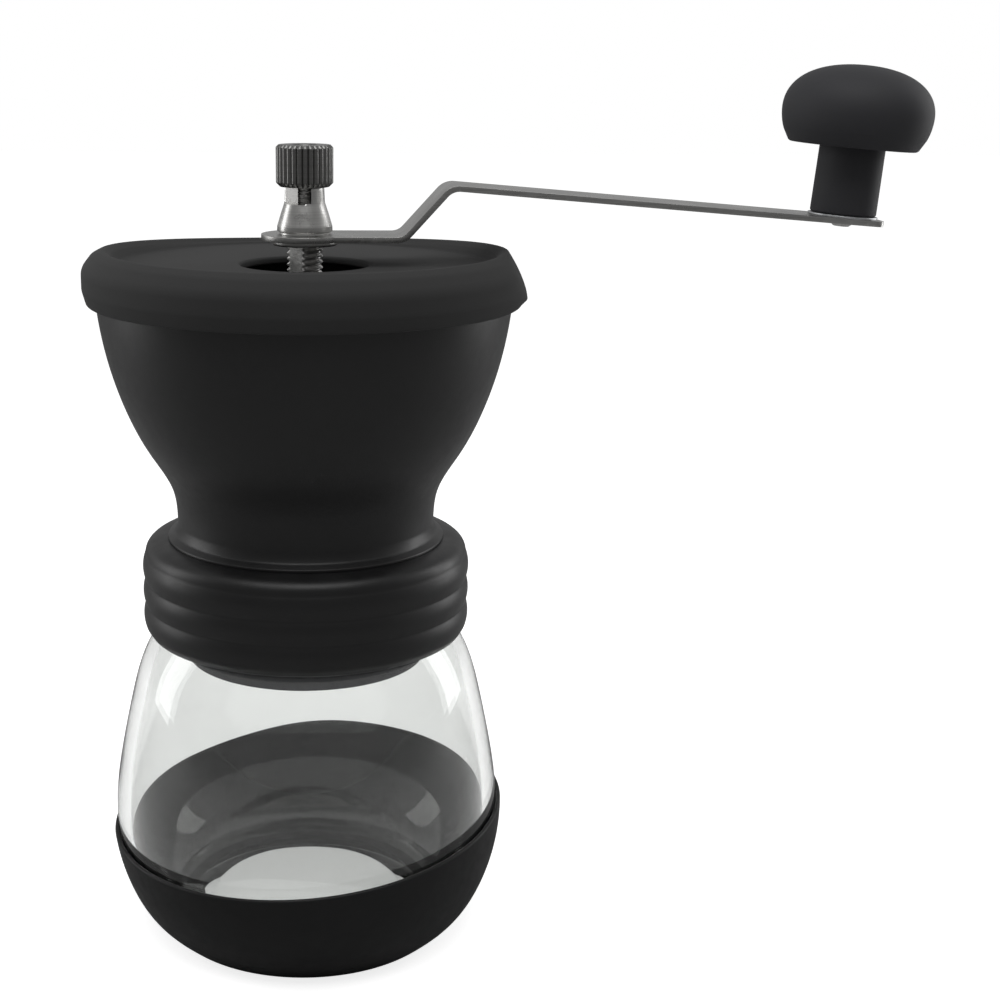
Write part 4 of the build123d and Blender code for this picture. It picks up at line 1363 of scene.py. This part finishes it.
class GRINDER_OT_stage(bpy.types.Operator):
    """Floor, soft lights, surroundings and camera"""

    bl_idname = "grinder.stage"
    bl_label = "Stage"

    def execute(self, context):
        scene = context.scene
        stage = scene.grinder_stage
        rows = np.linspace(-FLOOR_REACH, FLOOR_REACH, FLOOR_ROWS)
        grid = np.stack(np.meshgrid(rows, rows, indexing="ij"), axis=-1)
        grid = np.concatenate([grid, np.zeros((FLOOR_ROWS, FLOOR_ROWS, 1))], axis=-1)
        quads = lattice(FLOOR_ROWS, FLOOR_ROWS, False, False)
        mesh = bpy.data.meshes.new("floor")
        mesh.from_pydata(grid.reshape(-1, 3).tolist(), [], quads.tolist())
        floor = bpy.data.objects.new("floor", mesh)
        floor.data.materials.append(floor_finish())
        scene.collection.objects.link(floor)

        heading = stage.camera_heading
        aim = (0.0, 0.0, 0.1)

        def around(turn, distance, height):
            """Place at a turn, in degrees to the right of the view's direction."""
            a = heading + math.radians(turn)
            return (distance * math.sin(a), distance * math.cos(a), height)

        for name, side in (("left_light", LEFT_TURN), ("right_light", RIGHT_TURN)):
            place = around(side, SIDE_DISTANCE, SIDE_HEIGHT)
            soft_light(name, place, aim, *SIDE_SIZE, stage.side_light)
        soft_light("top_light", around(180, 0.3, 0.85), aim, *TOP_SIZE, stage.top_light)

        world = bpy.data.worlds.new("room")
        world.use_nodes = True
        tree = world.node_tree
        tree.nodes.clear()
        path = put(tree, "ShaderNodeLightPath").outputs
        seen = sums(tree, "MAXIMUM", path["Is Camera Ray"], path["Is Transmission Ray"])
        direction = put(tree, "ShaderNodeTexCoord").outputs["Generated"]
        away = (math.sin(heading), math.cos(heading), 0.0)
        ahead = put(tree, "ShaderNodeVectorMath", {0: direction, 1: away}, operation="DOT_PRODUCT")
        facing = ahead.outputs["Value"]
        room = spread(tree, facing, -0.55, 0.35, ROOM_BEHIND_CAMERA, stage.surround)
        level = put(tree, "ShaderNodeMix", {0: seen, 2: room, 3: 1.0}, data_type="FLOAT").outputs[0]
        light = put(tree, "ShaderNodeBackground", {"Color": (1, 1, 1, 1), "Strength": level})
        put(tree, "ShaderNodeOutputWorld", {"Surface": light.outputs[0]})
        scene.world = world
        scene.view_settings.view_transform = "Standard"

        lens = bpy.data.cameras.new("camera")
        lens.lens, lens.sensor_width, lens.shift_x = stage.lens, 36.0, stage.shift
        lens.clip_start, lens.clip_end = 0.01, 20.0
        camera = bpy.data.objects.new("camera", lens)
        dip, roll = stage.camera_dip, stage.camera_roll
        run = math.cos(dip)
        forward = Vector((math.sin(heading) * run, math.cos(heading) * run, -math.sin(dip)))
        level_right = Vector((math.cos(heading), -math.sin(heading), 0))
        level_up = level_right.cross(forward)
        right = math.cos(roll) * level_right + math.sin(roll) * level_up
        up = math.cos(roll) * level_up - math.sin(roll) * level_right
        turn = Matrix((right, up, -forward)).transposed().to_4x4()
        camera.matrix_world = Matrix.Translation(stage.camera_place) @ turn
        scene.collection.objects.link(camera)
        scene.camera = camera
        return {"FINISHED"}


# Panel and registration

OPERATORS = (
    GRINDER_OT_jar, GRINDER_OT_boot, GRINDER_OT_collar, GRINDER_OT_hopper, GRINDER_OT_lid,
    GRINDER_OT_shaft, GRINDER_OT_adjuster, GRINDER_OT_burrs, GRINDER_OT_crank,
    GRINDER_OT_thumb_nut, GRINDER_OT_knob, GRINDER_OT_inside, GRINDER_OT_stage,
)
GROUPS = {
    "grinder_sizes": GrinderSizes, "grinder_colours": GrinderColours, "grinder_stage": GrinderStage,
}


class GRINDER_PT_panel(bpy.types.Panel):
    """The grinder's sizes, colours, stage and builders"""

    bl_idname = "GRINDER_PT_panel"
    bl_label = "Coffee grinder"
    bl_space_type = "VIEW_3D"
    bl_region_type = "UI"
    bl_category = "Grinder"

    def draw(self, context):
        for name, group in GROUPS.items():
            box = self.layout.box()
            for prop in group.__annotations__:
                box.prop(getattr(context.scene, name), prop)
        for operator in OPERATORS:
            self.layout.operator(operator.bl_idname)


def register():
    """Registers the groups, operators and panel, and hangs the groups on the scene."""
    for item in (*GROUPS.values(), *OPERATORS, GRINDER_PT_panel):
        bpy.utils.register_class(item)
    for name, group in GROUPS.items():
        setattr(bpy.types.Scene, name, PointerProperty(type=group))


def unregister():
    """Takes back what register did."""
    for name in GROUPS:
        delattr(bpy.types.Scene, name)
    for item in (GRINDER_PT_panel, *reversed(OPERATORS), *reversed(GROUPS.values())):
        bpy.utils.unregister_class(item)


def main():
    """Builds every piece and the stage."""
    register()
    for operator in OPERATORS:
        group, name = operator.bl_idname.split(".")
        getattr(getattr(bpy.ops, group), name)()
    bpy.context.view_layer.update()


if __name__ == "__main__":
    main()
